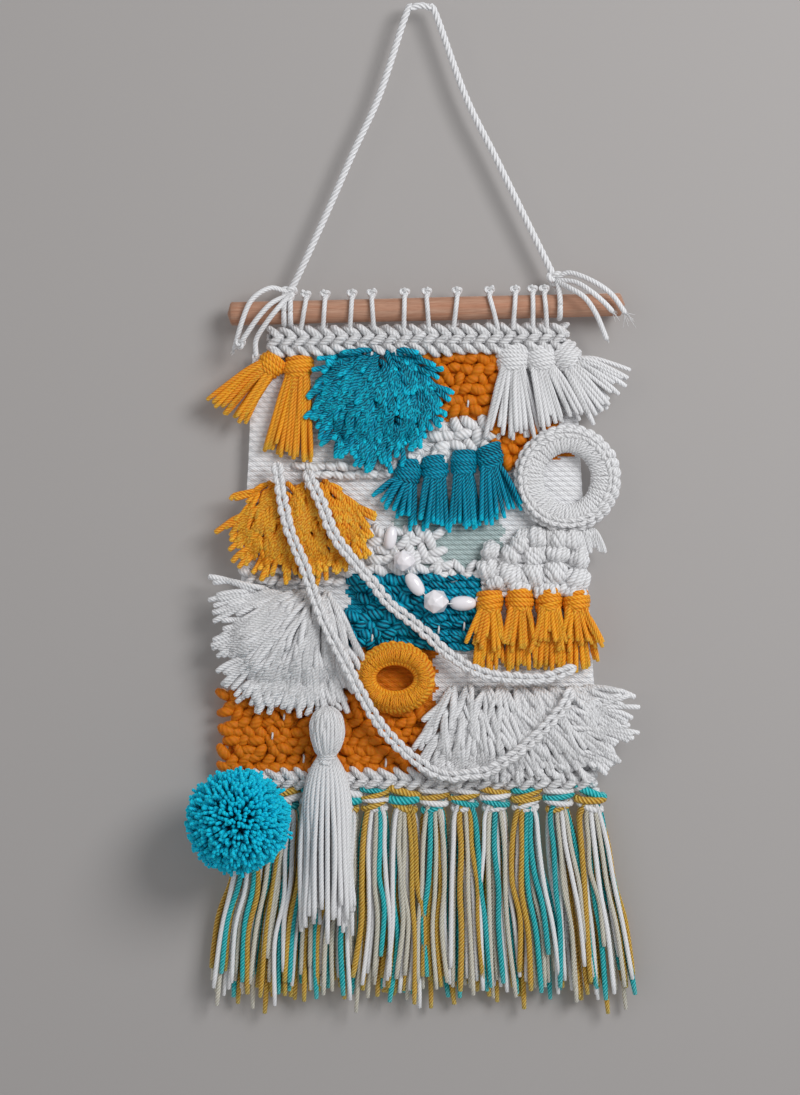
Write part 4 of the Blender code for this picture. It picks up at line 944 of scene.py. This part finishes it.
def ball_pile(name, seed, middle, part, size, length, dye):
    """Pile that turns away from a parting on all sides."""
    skein = Skein(seed)
    rng = skein.rng
    starts, ways, lengths, rises = [], [], [], []
    for row, z in enumerate(np.arange(middle[1] + size[1], middle[1] - size[1], -KNOT_GAP)):
        indent = (row % 2) * KNOT_GAP / 2
        for x in np.arange(middle[0] - size[0] + indent, middle[0] + size[0], KNOT_GAP):
            away = math.hypot((x - middle[0]) / size[0], (z - middle[1]) / size[1])
            if away > 1.0:
                continue
            for _ in range(KNOT_STRANDS):
                side, fall = (x - part[0]) / size[0], (z - part[1]) / size[1] - 0.28
                angle = math.atan2(fall, side) + rng.normal(0, 0.5 - 0.15 * away)
                starts.append((x + rng.normal(0, 1.1), 6.4, z + rng.normal(0, 1.1)))
                ways.append((math.cos(angle), 0.0, math.sin(angle)))
                lengths.append(length * rng.uniform(0.75, 1.1) * (0.8 + 0.25 * away))
                rises.append(9.5 * rng.uniform(0.7, 1.25) * (1.2 - 0.6 * away))
    lay_pile(skein, starts, ways, lengths, rises, surface(name), 1.4, 9, 1.25)
    print(name, "strands:", len(starts))
    finish_piece(name + "_yarn", skein, [dye], [name])


ball_pile("teal_shag", 31, (-23.0, -197.5), (-21.0, -178.0), (26.5, 25.5), 13.0, "teal")
ball_pile("yellow_shag_left", 32, (-62.5, -260.5), (-62.5, -236.0), (30.0, 21.0), 13.5, "yellow")
make_shag("white_shag_left", 33, (
    (-340.0, -78, -48, 6, -120, -84, 18, 7), (-329.0, -80, -47, 7, -148, -76, 23, 9),
    (-316.0, -78, -46, 7, -164, -76, 27, 11), (-306.0, -72, -46, 6, -160, -80, 34, 12),
    (-299.5, -76, -48, 6, -178, -80, 32, 11),
), each=7, radius=1.55, rings=12, stray=8.0)
make_shag("white_shag_right", 34, (
    (-378.0, 14, 86, 9, -102, -30, 15, 8), (-368.0, 12, 87, 10, -106, -16, 20, 10),
    (-357.0, 12, 87, 10, -108, -16, 22, 10), (-348.0, 16, 84, 9, -112, -24, 22, 9),
), each=8, radius=1.5, rings=10, stray=9.0)

# %% [markdown]
# A single tuft is folded over two warp ends: the fold bulges as a bun, is drawn in at its foot and
# fans out below. The strands start inside the bun, and the bun is a stack of short bands over
# them, each a little tilted, because whole strands laid over the fold would cut through each other.


# %% Tufts
TUFT_STRAND = 1.35  # radius


def bundle(skein, x, z, width, height, aim, first, last, count, depths=(10.2, 7.4)):
    """One tuft: the foot of its bun at x and z, and where its first and last strands end."""
    c, s = math.cos(math.radians(aim)), math.sin(math.radians(aim))
    rng = skein.rng
    share = np.linspace(-1, 1, count)
    layer = np.arange(count) % 2
    depth = np.where(layer == 0, *depths)

    def turned(across, deep, up):
        up = np.broadcast_to(up, across.shape)
        return np.stack([x + across * c - up * s, deep, z + across * s + up * c], -1)

    half = width / 2 - TUFT_STRAND
    t = (share + 1) / 2
    end_x = first[0] + (last[0] - first[0]) * t + rng.normal(0, 1.0, count)
    end_z = first[1] + (last[1] - first[1]) * t + rng.normal(0, 2.2, count)
    ends = np.stack([end_x, depth, end_z], -1)
    band = turned(share * half * 0.8, depth - 0.9, 0.8)
    flare = band + (ends - band) * 0.35
    flare[:, 1] = depth + 0.3
    flare[:, 2] += 0.06 * np.abs(ends[:, 0] - band[:, 0])
    route = [turned(share * half * 0.7, 6.0 + 0 * depth, height * 0.4), band, flare, ends]
    paths = through(jitter(skein, np.stack(route, 1), 0.3), 16)
    spin(skein, paths, TUFT_STRAND * rng.uniform(0.88, 1.1, (count, 1)))
    g = np.linspace(-0.4, math.pi + 0.4, 24)
    bands = max(4, round(height / 1.75))
    lean = rng.normal(0.16, 0.1)
    for rise in np.linspace(0.0, 1.0, bands):
        reach = half * (0.86 + 0.24 * math.sin(math.pi * (0.15 + 0.75 * rise))) * rng.uniform(0.95, 1.05)
        bow = 0.9 * np.sin(g) * (rise - 0.35)
        up = height * (0.04 + 0.9 * rise) + bow + (lean + rng.normal(0, 0.05)) * reach * np.cos(g)
        out = depths[0] - 6.2 + 1.5 * math.sin(math.pi * (0.2 + 0.7 * rise))
        loop = turned(reach * np.cos(g), 5.6 + out * np.maximum(np.sin(g), -0.2), up)
        spin(skein, loop, TUFT_STRAND * rng.uniform(0.98, 1.16), sides=8)


TUFTS = (  # name, x, z, width, height, aim, first end, last end, strands, dye
    ("yellow_tuft_1", -79.2, -185.0, 13.5, 8.0, -42, (-108, -200), (-90, -213), 18, "yellow"),
    ("yellow_tuft_2", -63.0, -187.4, 15.0, 8.5, -4, (-80, -225), (-56, -232), 24, "yellow"),
    ("white_tuft_1", 47.0, -184.0, 16.0, 10.5, 0, (33, -215), (60, -218), 24, "white"),
    ("white_tuft_2", 62.5, -184.0, 15.5, 10.5, 8, (60, -213), (83, -208), 22, "white"),
    ("white_tuft_3", 77.5, -182.0, 15.0, 10.0, 38, (86, -211), (108, -186), 24, "white"),
    ("teal_tuft_1", -7.4, -241.6, 13.6, 10.0, -8, (-24, -250), (-2, -265), 14, "teal"),
    ("teal_tuft_2", 7.4, -239.6, 13.6, 10.0, 4, (0, -265), (14, -265), 14, "teal"),
    ("teal_tuft_3", 21.8, -237.0, 13.6, 10.0, -3, (15, -265), (30, -264), 14, "teal"),
    ("teal_tuft_4", 36.0, -234.0, 13.6, 10.0, 8, (30, -264), (50, -258), 14, "teal"),
)
for seed, (name, x, z, width, height, aim, first, last, count, dye) in enumerate(TUFTS, 41):
    skein = Skein(seed)
    bundle(skein, x, z, width, height, aim, first, last, count)
    finish_piece(name + "_yarn", skein, [dye], [name])

skein = Skein(51)
RYA = (  # x, foot of the bun, reach to the left and to the right
    (35.0, -308.0, 9.5, 7), (50.5, -307.0, 8, 8), (65.5, -307.0, 8, 9), (79.5, -308.0, 8, 13),
)
for x, under, left, right in RYA:
    for ends, count, deep, more in ((-338.0, 15, (8.6, 6.8), 0.8), (-326.0, 17, (12.8, 10.4), 1.1)):
        first, last = (x - left * more, ends + 1.0), (x + right * more, ends + 0.25 * right)
        bundle(skein, x, under, 13.8, 9.0, 0, first, last, count, deep)
finish_piece("yellow_rya_right_yarn", skein, ["yellow"], ["yellow_rya_right"])

skein = Skein(52)
x = np.linspace(50.0, 92.0, 26) + skein.rng.normal(0, 0.5, 26)
lean = np.linspace(-1.5, 3.0, 26)
tilt = skein.rng.normal(0, 0.9, 26)
flat = 0 * x
route = [
    (x * 0.9 + 6, 5.9 + flat, -266.5 + flat), (x * 0.96 + 2.4, 8.8 + flat, -268.5 + flat),
    (x + lean * 0.5, 8.6 + flat, -273.5 + tilt), (x + lean, 7.8 + flat, -278.0 + tilt),
]
spin(skein, through(np.stack([np.stack(p, -1) for p in route], 1), 14), 1.25)
finish_piece("white_rya_row_yarn", skein, ["white"], ["white_rya_row"])

# %% [markdown]
# Two plain rings are covered in yarn. Each stitch goes once round the ring's thickness, from the
# hole over the front to the outer edge, so a ring is a row of small hoops set like spokes. Thick
# rings inside them close the gaps between the hoops, and crochet chains close the outer edge.


# %% The covered rings
def covered_ring(name, seed, centre, outer, hole, front, wraps, radius, dye, edge):
    skein = Skein(seed)
    t = np.linspace(0, 2 * math.pi + 0.35, 26)
    back = 5.6
    a = np.linspace(0, 2 * math.pi * 1.01, 120)
    for share in (0.3, 0.5, 0.7):
        line = [centre[0] + (hole[0] + (outer[0] - hole[0]) * share) * np.cos(a)]
        line += [(front + back) / 2 + 0 * a, centre[1] + (hole[1] + (outer[1] - hole[1]) * share) * np.sin(a)]
        spin(skein, np.column_stack(line), (front - back) * 0.38)
    paths, girths = [], []
    for a in np.arange(wraps) * 2 * math.pi / wraps:
        slant = a + 0.55 * math.pi / wraps * np.sin(t / 2) + skein.rng.normal(0, 0.012)
        share = 0.5 + 0.5 * np.cos(t)
        girth = radius * (0.8 + 0.45 * share)
        reach = [hole[k] + (outer[k] - hole[k]) * share + girth * (1 - 2 * share) for k in (0, 1)]
        depth = (front + back) / 2 + ((front - back) / 2 - radius) * np.sin(t)
        across, up = reach[0] * np.cos(slant), reach[1] * np.sin(slant)
        paths.append(np.column_stack([centre[0] + across, depth, centre[1] + up]))
        girths.append(girth)
    spin(skein, jitter(skein, np.array(paths), 0.12), np.array(girths))
    a = np.linspace(0, 2 * math.pi * 1.01, 160)
    for shrink, deep, size in edge:
        rim = [(outer[k] - shrink) for k in (0, 1)]
        line = np.column_stack([centre[0] + rim[0] * np.cos(a), deep + 0 * a, centre[1] + rim[1] * np.sin(a)])
        crochet(skein, line, size * 3.6, size * 4.2, size)
    finish_piece(name + "_yarn", skein, [dye], [name])


covered_ring(
    "ring_white", 61, (74.7, -240.4), (25.6, 25.6), (11.8, 12.8), 13.6, 62, 1.25, "white",
    ((2.6, 12.0, 1.3), (0.7, 8.6, 1.35)),
)
covered_ring(
    "ring_orange", 62, (-13.3, -342.3), (18.8, 17.0), (10.8, 7.2), 16.6, 84, 0.62, "yellow",
    ((1.6, 12.0, 0.95), (0.6, 8.6, 1.2)),
)

# %% [markdown]
# Loop pile: a thick soft weft is pulled up between the warps into loops that lie where they fall.
# Each loop here is five strands side by side, bowed over rows of plain weft.

# %% The loop pile
skein = Skein(63)
paths = []
PUFFS = (  # x, z, width, height, lean in degrees
    (48.0, -272.5, 9.0, 8.0, 20), (58.0, -272.0, 9.0, 8.5, -10), (68.5, -272.0, 10.0, 8.5, 5),
    (79.5, -271.5, 10.0, 9.0, 15), (35.5, -277.5, 9.0, 8.0, -20), (45.5, -280.0, 10.0, 9.0, 10),
    (57.0, -279.5, 11.0, 9.5, 24), (69.5, -279.5, 11.0, 9.5, -14), (81.5, -280.5, 10.5, 10.5, 6),
    (33.5, -287.0, 9.5, 9.0, 15), (44.5, -289.5, 11.0, 10.0, -12), (56.5, -289.0, 11.5, 10.5, 8),
    (69.0, -289.5, 12.0, 10.5, 18), (81.5, -291.5, 11.0, 11.0, -8), (37.5, -295.0, 9.0, 6.5, 5),
    (50.5, -297.0, 11.5, 7.0, -6), (64.0, -297.0, 12.0, 7.5, 8), (76.5, -298.0, 12.0, 6.5, 0),
)
PUFF_ARC = (  # up, depth and share of the width
    (0.46, 6.2, 0.55), (0.5, 8.9, 0.85), (0.22, 11.2, 1.0), (-0.12, 12.0, 1.05), (-0.42, 10.0, 0.95),
    (-0.5, 6.6, 0.6),
)
for x, z, width, height, lean in PUFFS:
    turn = math.radians(lean * 1.6 + skein.rng.normal(0, 14))
    c, s = math.cos(turn), math.sin(turn)
    x, z = x + skein.rng.normal(0, 1.0), z + skein.rng.normal(0, 0.8)
    width *= skein.rng.uniform(0.85, 1.2)
    for share in np.linspace(-1, 1, 5):
        swell = 1.0 - 0.32 * share**2
        arc = []
        for up, out, draw in PUFF_ARC:
            across, rise = share * draw * (width / 2 - 1.6), up * height * swell
            arc.append((x + across * c - rise * s, 6.0 + (out - 6.0) * swell, z + across * s + rise * c))
        paths.append(arc)
paths = through(jitter(skein, np.array(paths), 0.42), 14)
spin(skein, paths, 1.75 * skein.rng.uniform(0.85, 1.15, (len(paths), 1)), sides=8)
for z in np.arange(-279.0, -299.5, -2.9):
    core = np.array([(31.0, 6.9, z), (58.0, 7.2, z - 0.4), (85.0, 6.9, z)])
    spin(skein, jitter(skein, through(core, 40), 0.12), 1.5)
finish_piece("loop_pile_yarn", skein, ["white"], ["loop_pile"])

# %% [markdown]
# Two long crochet chains hang in swags over the front. Their depth is read from the CAD's own
# chains, so they lie on the tufts and the cloth just where the model says.

# %% The crochet chains
CHAINS = {
    "chain_outer": (
        (-73.7, -232.7), (-70.6, -250.6), (-67.0, -266.5), (-59.8, -283.9), (-54.2, -300.3), (-47.6, -316.6),
        (-37.9, -335.0), (-30.2, -350.4), (-21.0, -365.7), (-10.7, -377.0), (2.0, -387.2), (12.8, -391.8),
        (25.1, -390.8), (33.2, -389.8), (49.1, -379.5), (61.4, -368.3), (72.6, -356.0), (77.2, -345.5),
    ),
    "chain_inner": (
        (-58.3, -236.8), (-50.1, -254.7), (-44.0, -269.6), (-31.7, -285.4), (-24.0, -294.1), (-16.4, -304.3),
        (-8.2, -310.5), (4.1, -320.7), (10.7, -327.4), (24.0, -336.6), (31.7, -339.6), (38.4, -341.2),
        (61.4, -342.3), (78.8, -336.6),
    ),
}
CHAIN_RADIUS = 2.7
for seed, (name, flat) in enumerate(CHAINS.items(), 71):
    skein = Skein(seed)
    tree = surface(name)
    line = evenly(through(np.array([(x, 0.0, z) for x, z in flat]), 300), 1.5)
    fronts = [front_depth(tree, x, z) for x, _, z in line]
    known = [i for i, value in enumerate(fronts) if value is not None]
    fronts = np.interp(np.arange(len(line)), known, [fronts[i] for i in known])
    smoothed = np.convolve(np.pad(fronts, 3, mode="edge"), np.ones(7) / 7, mode="valid")
    line[:, 1] = smoothed - CHAIN_RADIUS + 0.3
    stitches = crochet(skein, line, 5.4, 6.4, 1.42)
    finish_piece(name + "_yarn", skein, ["white"], [name])
    print(name, "stitches:", stitches)

# %% [markdown]
# The beads are glossy plastic: ovals with a thread hole through them, turned from one outline,
# and two cut with flat facets whose edges are just eased. They hang on one thin thread, which
# ends in two small round beads.

# %% The beads
glaze, tree, shader = principled(
    "bead_pearl", 0.18, Coat_Weight=0.5, Coat_Roughness=0.08, Specular_IOR_Level=0.5,
)
where = wire(tree, "TexCoord").outputs["Object"]
cloud = wire(tree, "TexNoise", where, None, 160.0, 3.0, 0.5).outputs[0]
tree.links.new(blend(tree, cloud, linear(226, 220, 224), linear(246, 243, 246)), shader.inputs["Base Color"])
speck = wire(tree, "TexNoise", where, None, 1400.0, 2.0, 0.6).outputs[0]
tree.links.new(wire(tree, "MapRange", speck, 0.35, 0.75, 0.12, 0.3).outputs[0], shader.inputs["Roughness"])
relief = wire(tree, "Bump", 0.08, 0.0002)
tree.links.new(cloud, relief.inputs["Height"])
tree.links.new(relief.outputs["Normal"], shader.inputs["Normal"])


def finish_bead(name, points, faces, smooth, nodes, bevel=0.0):
    mesh = bpy.data.meshes.new(name)
    mesh.from_pydata([tuple(p) for p in place(points) * MM], [], [tuple(reversed(f)) for f in faces])
    mesh.materials.append(glaze)
    piece = bpy.data.objects.new(name, mesh)
    bpy.context.scene.collection.objects.link(piece)
    if smooth:
        mesh.shade_smooth()
    if bevel:
        ease = piece.modifiers.new("eased edges", "BEVEL")
        ease.width, ease.segments, ease.limit_method = bevel * MM, 2, "NONE"
    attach(piece, BODY)
    if nodes:
        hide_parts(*nodes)


def turned_bead(centre, length, width, turn, sides=28, rings=20):
    """An oval bead with a hole along it: its outline, turned round its length."""
    bore = 0.55
    t = np.linspace(0.10, math.pi - 0.10, rings)
    run = np.concatenate([-np.cos(t) * length / 2, np.linspace(1, -1, 5)[1:-1] * length * 0.42])
    wide = np.concatenate([np.sin(t) ** 0.8 * width / 2, np.full(3, bore)])
    cos, sin = math.cos(math.radians(turn)), math.sin(math.radians(turn))
    spun = 2 * math.pi * np.arange(sides) / sides
    points, count = [], len(run)
    for r, w in zip(run, wide):
        for s in spun:
            side, deep = w * math.cos(s), w * math.sin(s)
            points.append(centre + (r * cos - side * sin, deep, r * sin + side * cos))
    faces = []
    for i in range(count):
        for j in range(sides):
            k, after = (j + 1) % sides, (i + 1) % count
            faces.append((i * sides + j, i * sides + k, after * sides + k, after * sides + j))
    return np.array(points), faces


def cut_bead(centre, width):
    """A bead with flat facets: bands of triangles between four rings of six points, and two ends."""
    points = []
    # Height and radius of each ring, in widths of the bead, and its turn in steps.
    bands = ((-0.4830, 0.1696, 0.5), (-0.2520, 0.4876, 0.0), (0.2520, 0.4876, 0.5), (0.4830, 0.1696, 0.0))
    for height, reach, shift in bands:
        for k in range(6):
            s = 2 * math.pi * (k + shift) / 6
            points.append((reach * math.cos(s), height, reach * math.sin(s)))
    points = np.array(points) * width
    tilt = math.radians(24)
    turn = np.array([(math.cos(tilt), -math.sin(tilt), 0), (math.sin(tilt), math.cos(tilt), 0), (0, 0, 1)])
    points = points @ turn.T + np.array(centre)
    faces = [tuple(range(6)), tuple(reversed(range(18, 24)))]
    for band in range(3):
        low, high = band * 6, band * 6 + 6
        lead = 0 if band % 2 == 0 else 1
        for k in range(6):
            after = (k + 1) % 6
            if lead:
                faces += [(low + k, high + k, low + after), (low + after, high + k, high + after)]
            else:
                faces += [(low + k, high + k, high + after), (low + k, high + after, low + after)]
    return points, faces


def node_middle(node):
    low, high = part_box(node)
    mid = (Vector(low) + Vector(high)) / 2 / MM
    return np.array((mid.x, BACK_Y - mid.y, mid.z))


OVALS = (("bead_oval_1", 12.0, 6.5, 80), ("bead_oval_2", 13.3, 7.5, -55), ("bead_oval_3", 13.6, 7.7, 0))
FACETS = (("bead_facet_1", 11.0), ("bead_facet_2", 12.4))
for name, length, width, turn in OVALS:
    finish_bead(name + "_gloss", *turned_bead(node_middle(name), length, width, turn), True, [name])
for name, width in FACETS:
    finish_bead(name + "_gloss", *cut_bead(node_middle(name), width), False, [name], bevel=0.22)
STRUNG = ("bead_oval_1", "bead_facet_1", "bead_oval_2", "bead_facet_2", "bead_oval_3")
string = [node_middle(name) for name in STRUNG]
SMALL = [string[-1] + (7.9, -1.2, 1.9), string[-1] + (11.0, -2.4, 2.4)]
for number, centre in enumerate(SMALL, 1):
    finish_bead(f"bead_small_{number}_gloss", *turned_bead(centre, 3.3, 3.5, 8, 20, 14), True, [])
thread, tree, shader = principled("thread_clear", 0.35)
lay = wire(tree, "Attribute", attribute_name="lay").outputs["Vector"]
tone = wire(tree, "TexNoise", lay, None, 3.0).outputs[0]
tree.links.new(blend(tree, tone, linear(214, 210, 206), linear(244, 242, 240)), shader.inputs["Base Color"])
YARNS["thread"] = thread
skein = Skein(75)
top = string[0] + (1.2, -2.5, 8.0)
line = np.array([top, string[0] + (1.0, 0, 5.6), *string, *SMALL, SMALL[-1] + (3.0, -3.2, 1.4)])
spin(skein, evenly(through(line, 120), 0.8), 0.3, sides=6, turn=4.0)
finish_piece("bead_thread", skein, ["thread"])

# %% [markdown]
# Each knot of the fringe is a lark's head: the strands are doubled over the foot row, and the
# bight wraps round them in bands of whatever colours the bundle holds. The strands below hang in
# four layers, a little uneven and each with a wave of its own. Those of the two layers in front
# are listed one by one, and those behind them are drawn at random from a mix.

# %% The fringe
LETTERS = {"W": 0, "C": 1, "G": 2, "A": 3}
FRINGE = (  # x of the knot, bands from the top, strands: dye and how far its end lies from the knot's line
    (-84.9, "WGA", "W-9 A-5 G-3 W0 C3 A5 G8 W10 C-7 C6"),
    (-69.4, "GWA", "A-7 G-4 W-2 C1 W4 A7 G9 C-8 W8 C2"),
    (-53.9, "AWG", "G-8 A-5 W-3 C0 G3 W6 A8 C5 W-7 C9"),
    (-38.5, "WAG", "G-9 W-6 A-3 C0 W3 G6 W8 A5 C-4 C9"),
    (-23.2, "AGWGW", "G-10 W-5 W-1 C2 A6 G8 W10 C-7 C4"),
    (-8.6, "GAG", "A-7 W-3 C0 W3 G6 C8 W-9 C-5 G9"),
    (6.4, "WGWA", "A-3 C-7 W-5 G-1 C2 G5 W8 C6"),
    (21.9, "WGAW", "W-11 C-8 G-4 W0 A9 A13 G7 C3 W5"),
    (37.9, "GWAW", "W-10 C-6 G-8 A-2 W1 C4 W7 C-3"),
    (53.9, "AGGWW", "G-11 W-7 C-3 A0 A4 W8 C2 W11 G-5"),
    (70.4, "WAWG", "A-9 W-5 C-1 W3 G6 A10 C7 C1"),
    (86.6, "AGW", "G-12 W-8 C-4 W0 W4 G9 A14 C6 A-2 W11"),
)
FRINGE_TOP = -398.6
FRINGE_END = -499.0
FRINGE_SPREAD = 1.13
KNOT_WIDTH, KNOT_HEIGHT = 16.4, 11.0
BEHIND = (("CCWGGGA", 8), ("GGGCAC", 9))  # mix and number of strands
HANG = ((0.22, 0.22, 0.3), (0.45, 0.45, 0.3), (0.7, 0.68, 0.0))  # share across, share down, depth
for number, (x, bands, strands) in enumerate(FRINGE, 1):
    skein = Skein(80 + number)
    rng = skein.rng
    under = FRINGE_TOP - KNOT_HEIGHT
    g = np.linspace(-0.6, math.pi + 0.6, 26)
    pitch = KNOT_HEIGHT / len(bands)
    slope = rng.normal(0.0, 0.1)
    for row, band in enumerate(bands):
        low = row / (len(bands) - 1)
        reach = KNOT_WIDTH / 2 - 1.3 + 0.35 * math.sin(math.pi * low) - 1.7 * low**2
        tilt = slope + (0.16 if row % 2 else -0.1) + rng.normal(0, 0.08)
        z = FRINGE_TOP - pitch * (row + 0.5) + tilt * reach * np.cos(g)
        sag = (0.5 + 0.9 * low) * np.sin(g)
        deep = 5.4 + (3.2 + 0.9 * math.sin(math.pi * low)) * np.sin(g)
        loop = np.column_stack([x + reach * np.cos(g), deep, z - sag])
        spin(skein, loop, max(1.5, pitch * 0.58) * rng.uniform(0.92, 1.08), LETTERS[band], sides=8)
    for side in (-1, 1):
        core = ((2.6, 4.0, FRINGE_TOP - 0.6), (3.2, 4.4, under + 4.0), (2.0, 4.6, under - 0.5))
        spin(skein, through([(x + side * a, d, z) for a, d, z in core], 14), 2.4, 0, sides=12)
    items = sorted(strands.split(), key=lambda item: float(item[1:]))
    wave = rng.normal(0, 1.2, 2)
    behind = [[rng.choice(list(mix)) + "0" for _ in range(count)] for mix, count in BEHIND]
    layers = [(8.6, items[0::2]), (6.1, items[1::2]), (3.5, behind[0]), (0.9, behind[1])]
    for layer, chosen in layers:
        even = np.linspace(-1.0, 1.0, len(chosen)) * (9.0 if layer > 4 else 10.5)
        own = np.array([float(item[1:]) for item in chosen]) if layer > 4 else even
        off = 0.6 * own + 0.4 * even + rng.normal(0, 0.5, len(chosen))
        paths = []
        for shift in off:
            start = x + shift * 0.5
            end_x, end_z = x * FRINGE_SPREAD + shift + wave[1] * 0.6, FRINGE_END + rng.normal(0, 6.0)
            bow = rng.normal(0, 0.6, 4)[:3] + (wave[0] * 0.7, wave[0], wave[1])
            path = [(start * 0.5 + x * 0.5, layer, under + 3.0), (start, layer, under - 4.0)]
            for (a, b, more), bend in zip(HANG, bow):
                path.append((start + (end_x - start) * a + bend, layer + more, under + (end_z - under) * b))
            paths.append([*path, (end_x, layer, end_z)])
        paths = through(np.array(paths), 26)
        for path, item in zip(paths, chosen):
            girth = 1.42 if item[0] in "GA" else 1.22
            spin(skein, path, girth * rng.uniform(0.92, 1.06), LETTERS[item[0]], sides=8)
    name = f"fringe_{number:02d}"
    finish_piece(name + "_yarn", skein, ["white", "cream", "gold", "aqua"], [name])

# %% [markdown]
# The tassel is a hank doubled over, bound at the neck and cut below. Its strands run smooth over
# the head, dip in at the neck and hang in a skirt of several layers.

# %% The tassel
skein = Skein(95)
rng = skein.rng
x, deep = -47.8, node_middle("tassel")[1]
HEAD = (  # z and half width
    (-357.6, 1.6), (-360.6, 6.2), (-366.0, 7.6), (-372.0, 7.4), (-378.0, 5.6), (-382.3, 3.4), (-386.0, 5.0),
)
for count, inset, shift in ((26, 0.0, 0.0), (16, 1.6, 0.1)):
    a = 2 * math.pi * np.arange(count) / count + shift
    route = []
    for z, wide in HEAD:
        w = wide - inset * 0.6
        route.append(np.stack([x + w * np.cos(a), deep + 0.84 * w * np.sin(a), z + 0 * a], -1))
    spin(skein, jitter(skein, through(jitter(skein, np.stack(route, 1), 0.3), 24), 0.05), 1.15)
g = np.linspace(0, 4.2 * math.pi, 60)
spin(skein, np.column_stack([x + 4.4 * np.cos(g), deep + 3.9 * np.sin(g), -381.2 - 0.22 * g]), 0.8, turn=7.0)
paths = []
for ring_count, wide, low in ((26, 1.0, 0), (18, 0.72, 3), (10, 0.4, 5)):
    for a in 2 * math.pi * (np.arange(ring_count) + 0.37) / ring_count:
        c, s = math.cos(a) * wide, math.sin(a) * wide
        end = -464.0 + low + rng.normal(0, 6.0)
        stray = rng.normal(0, 1.2, 2)
        route = [(3.4, -381.5), (8.6, -391.0), (11.6, -406.0)]
        route += [(12.6 + stray[0], -431.0), (13.2 + stray[1], end)]
        paths.append([(x + w * c, deep + 0.5 * w * s, z) for w, z in route])
spin(skein, through(np.array(paths), 22), 1.3, sides=8)
finish_piece("tassel_yarn", skein, ["white"], ["tassel"])

# %% [markdown]
# A pompom is a great many cut strands bound at one middle. Only their outer ends show, so each is
# a short tube that points away from the middle, spread over the ball by the golden angle. A plain
# core keeps the ball from being seen through.

# %% The pompom
skein = Skein(96)
rng = skein.rng
middle = np.array((-92.0, node_middle("pompom")[1], -413.0))
COUNT, RADIUS = 2100, 24.8
k = np.arange(COUNT) + 0.5
polar, turn = np.arccos(1 - 2 * k / COUNT), math.pi * (1 + 5**0.5) * k
ways = np.stack([np.cos(turn) * np.sin(polar), np.sin(turn) * np.sin(polar), np.cos(polar)], -1)
ways = unit(ways + rng.normal(0, 0.035, ways.shape))
reach = RADIUS * (1 + rng.normal(0, 0.03, (COUNT, 1)))
lean = rng.normal(0, 1.3, ways.shape)
paths = [middle + ways * 13.0, middle + ways * reach * 0.78 + lean * 0.4, middle + ways * reach + lean]
spin(skein, through(np.stack(paths, 1), 4), np.linspace(0.7, 1.05, 4), cut=0.85)
core = [middle + (0.0, 0.0, up) for up in (-16.0, -8.0, 0.0, 8.0, 16.0)]
spin(skein, np.array(core), np.array([6.0, 14.0, 17.0, 14.0, 6.0]), sides=24)
finish_piece("pompom_yarn", skein, ["teal"], ["pompom"])

# %% Sizes
seen_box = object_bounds()
grown = [(seen_box[0][i] - CAD_BOX[0][i], seen_box[1][i] - CAD_BOX[1][i]) for i in range(3)]
print("grown in mm:", [tuple(round(v / MM, 1) for v in pair) for pair in grown])
print("triangles:", sum(TALLY.values()))
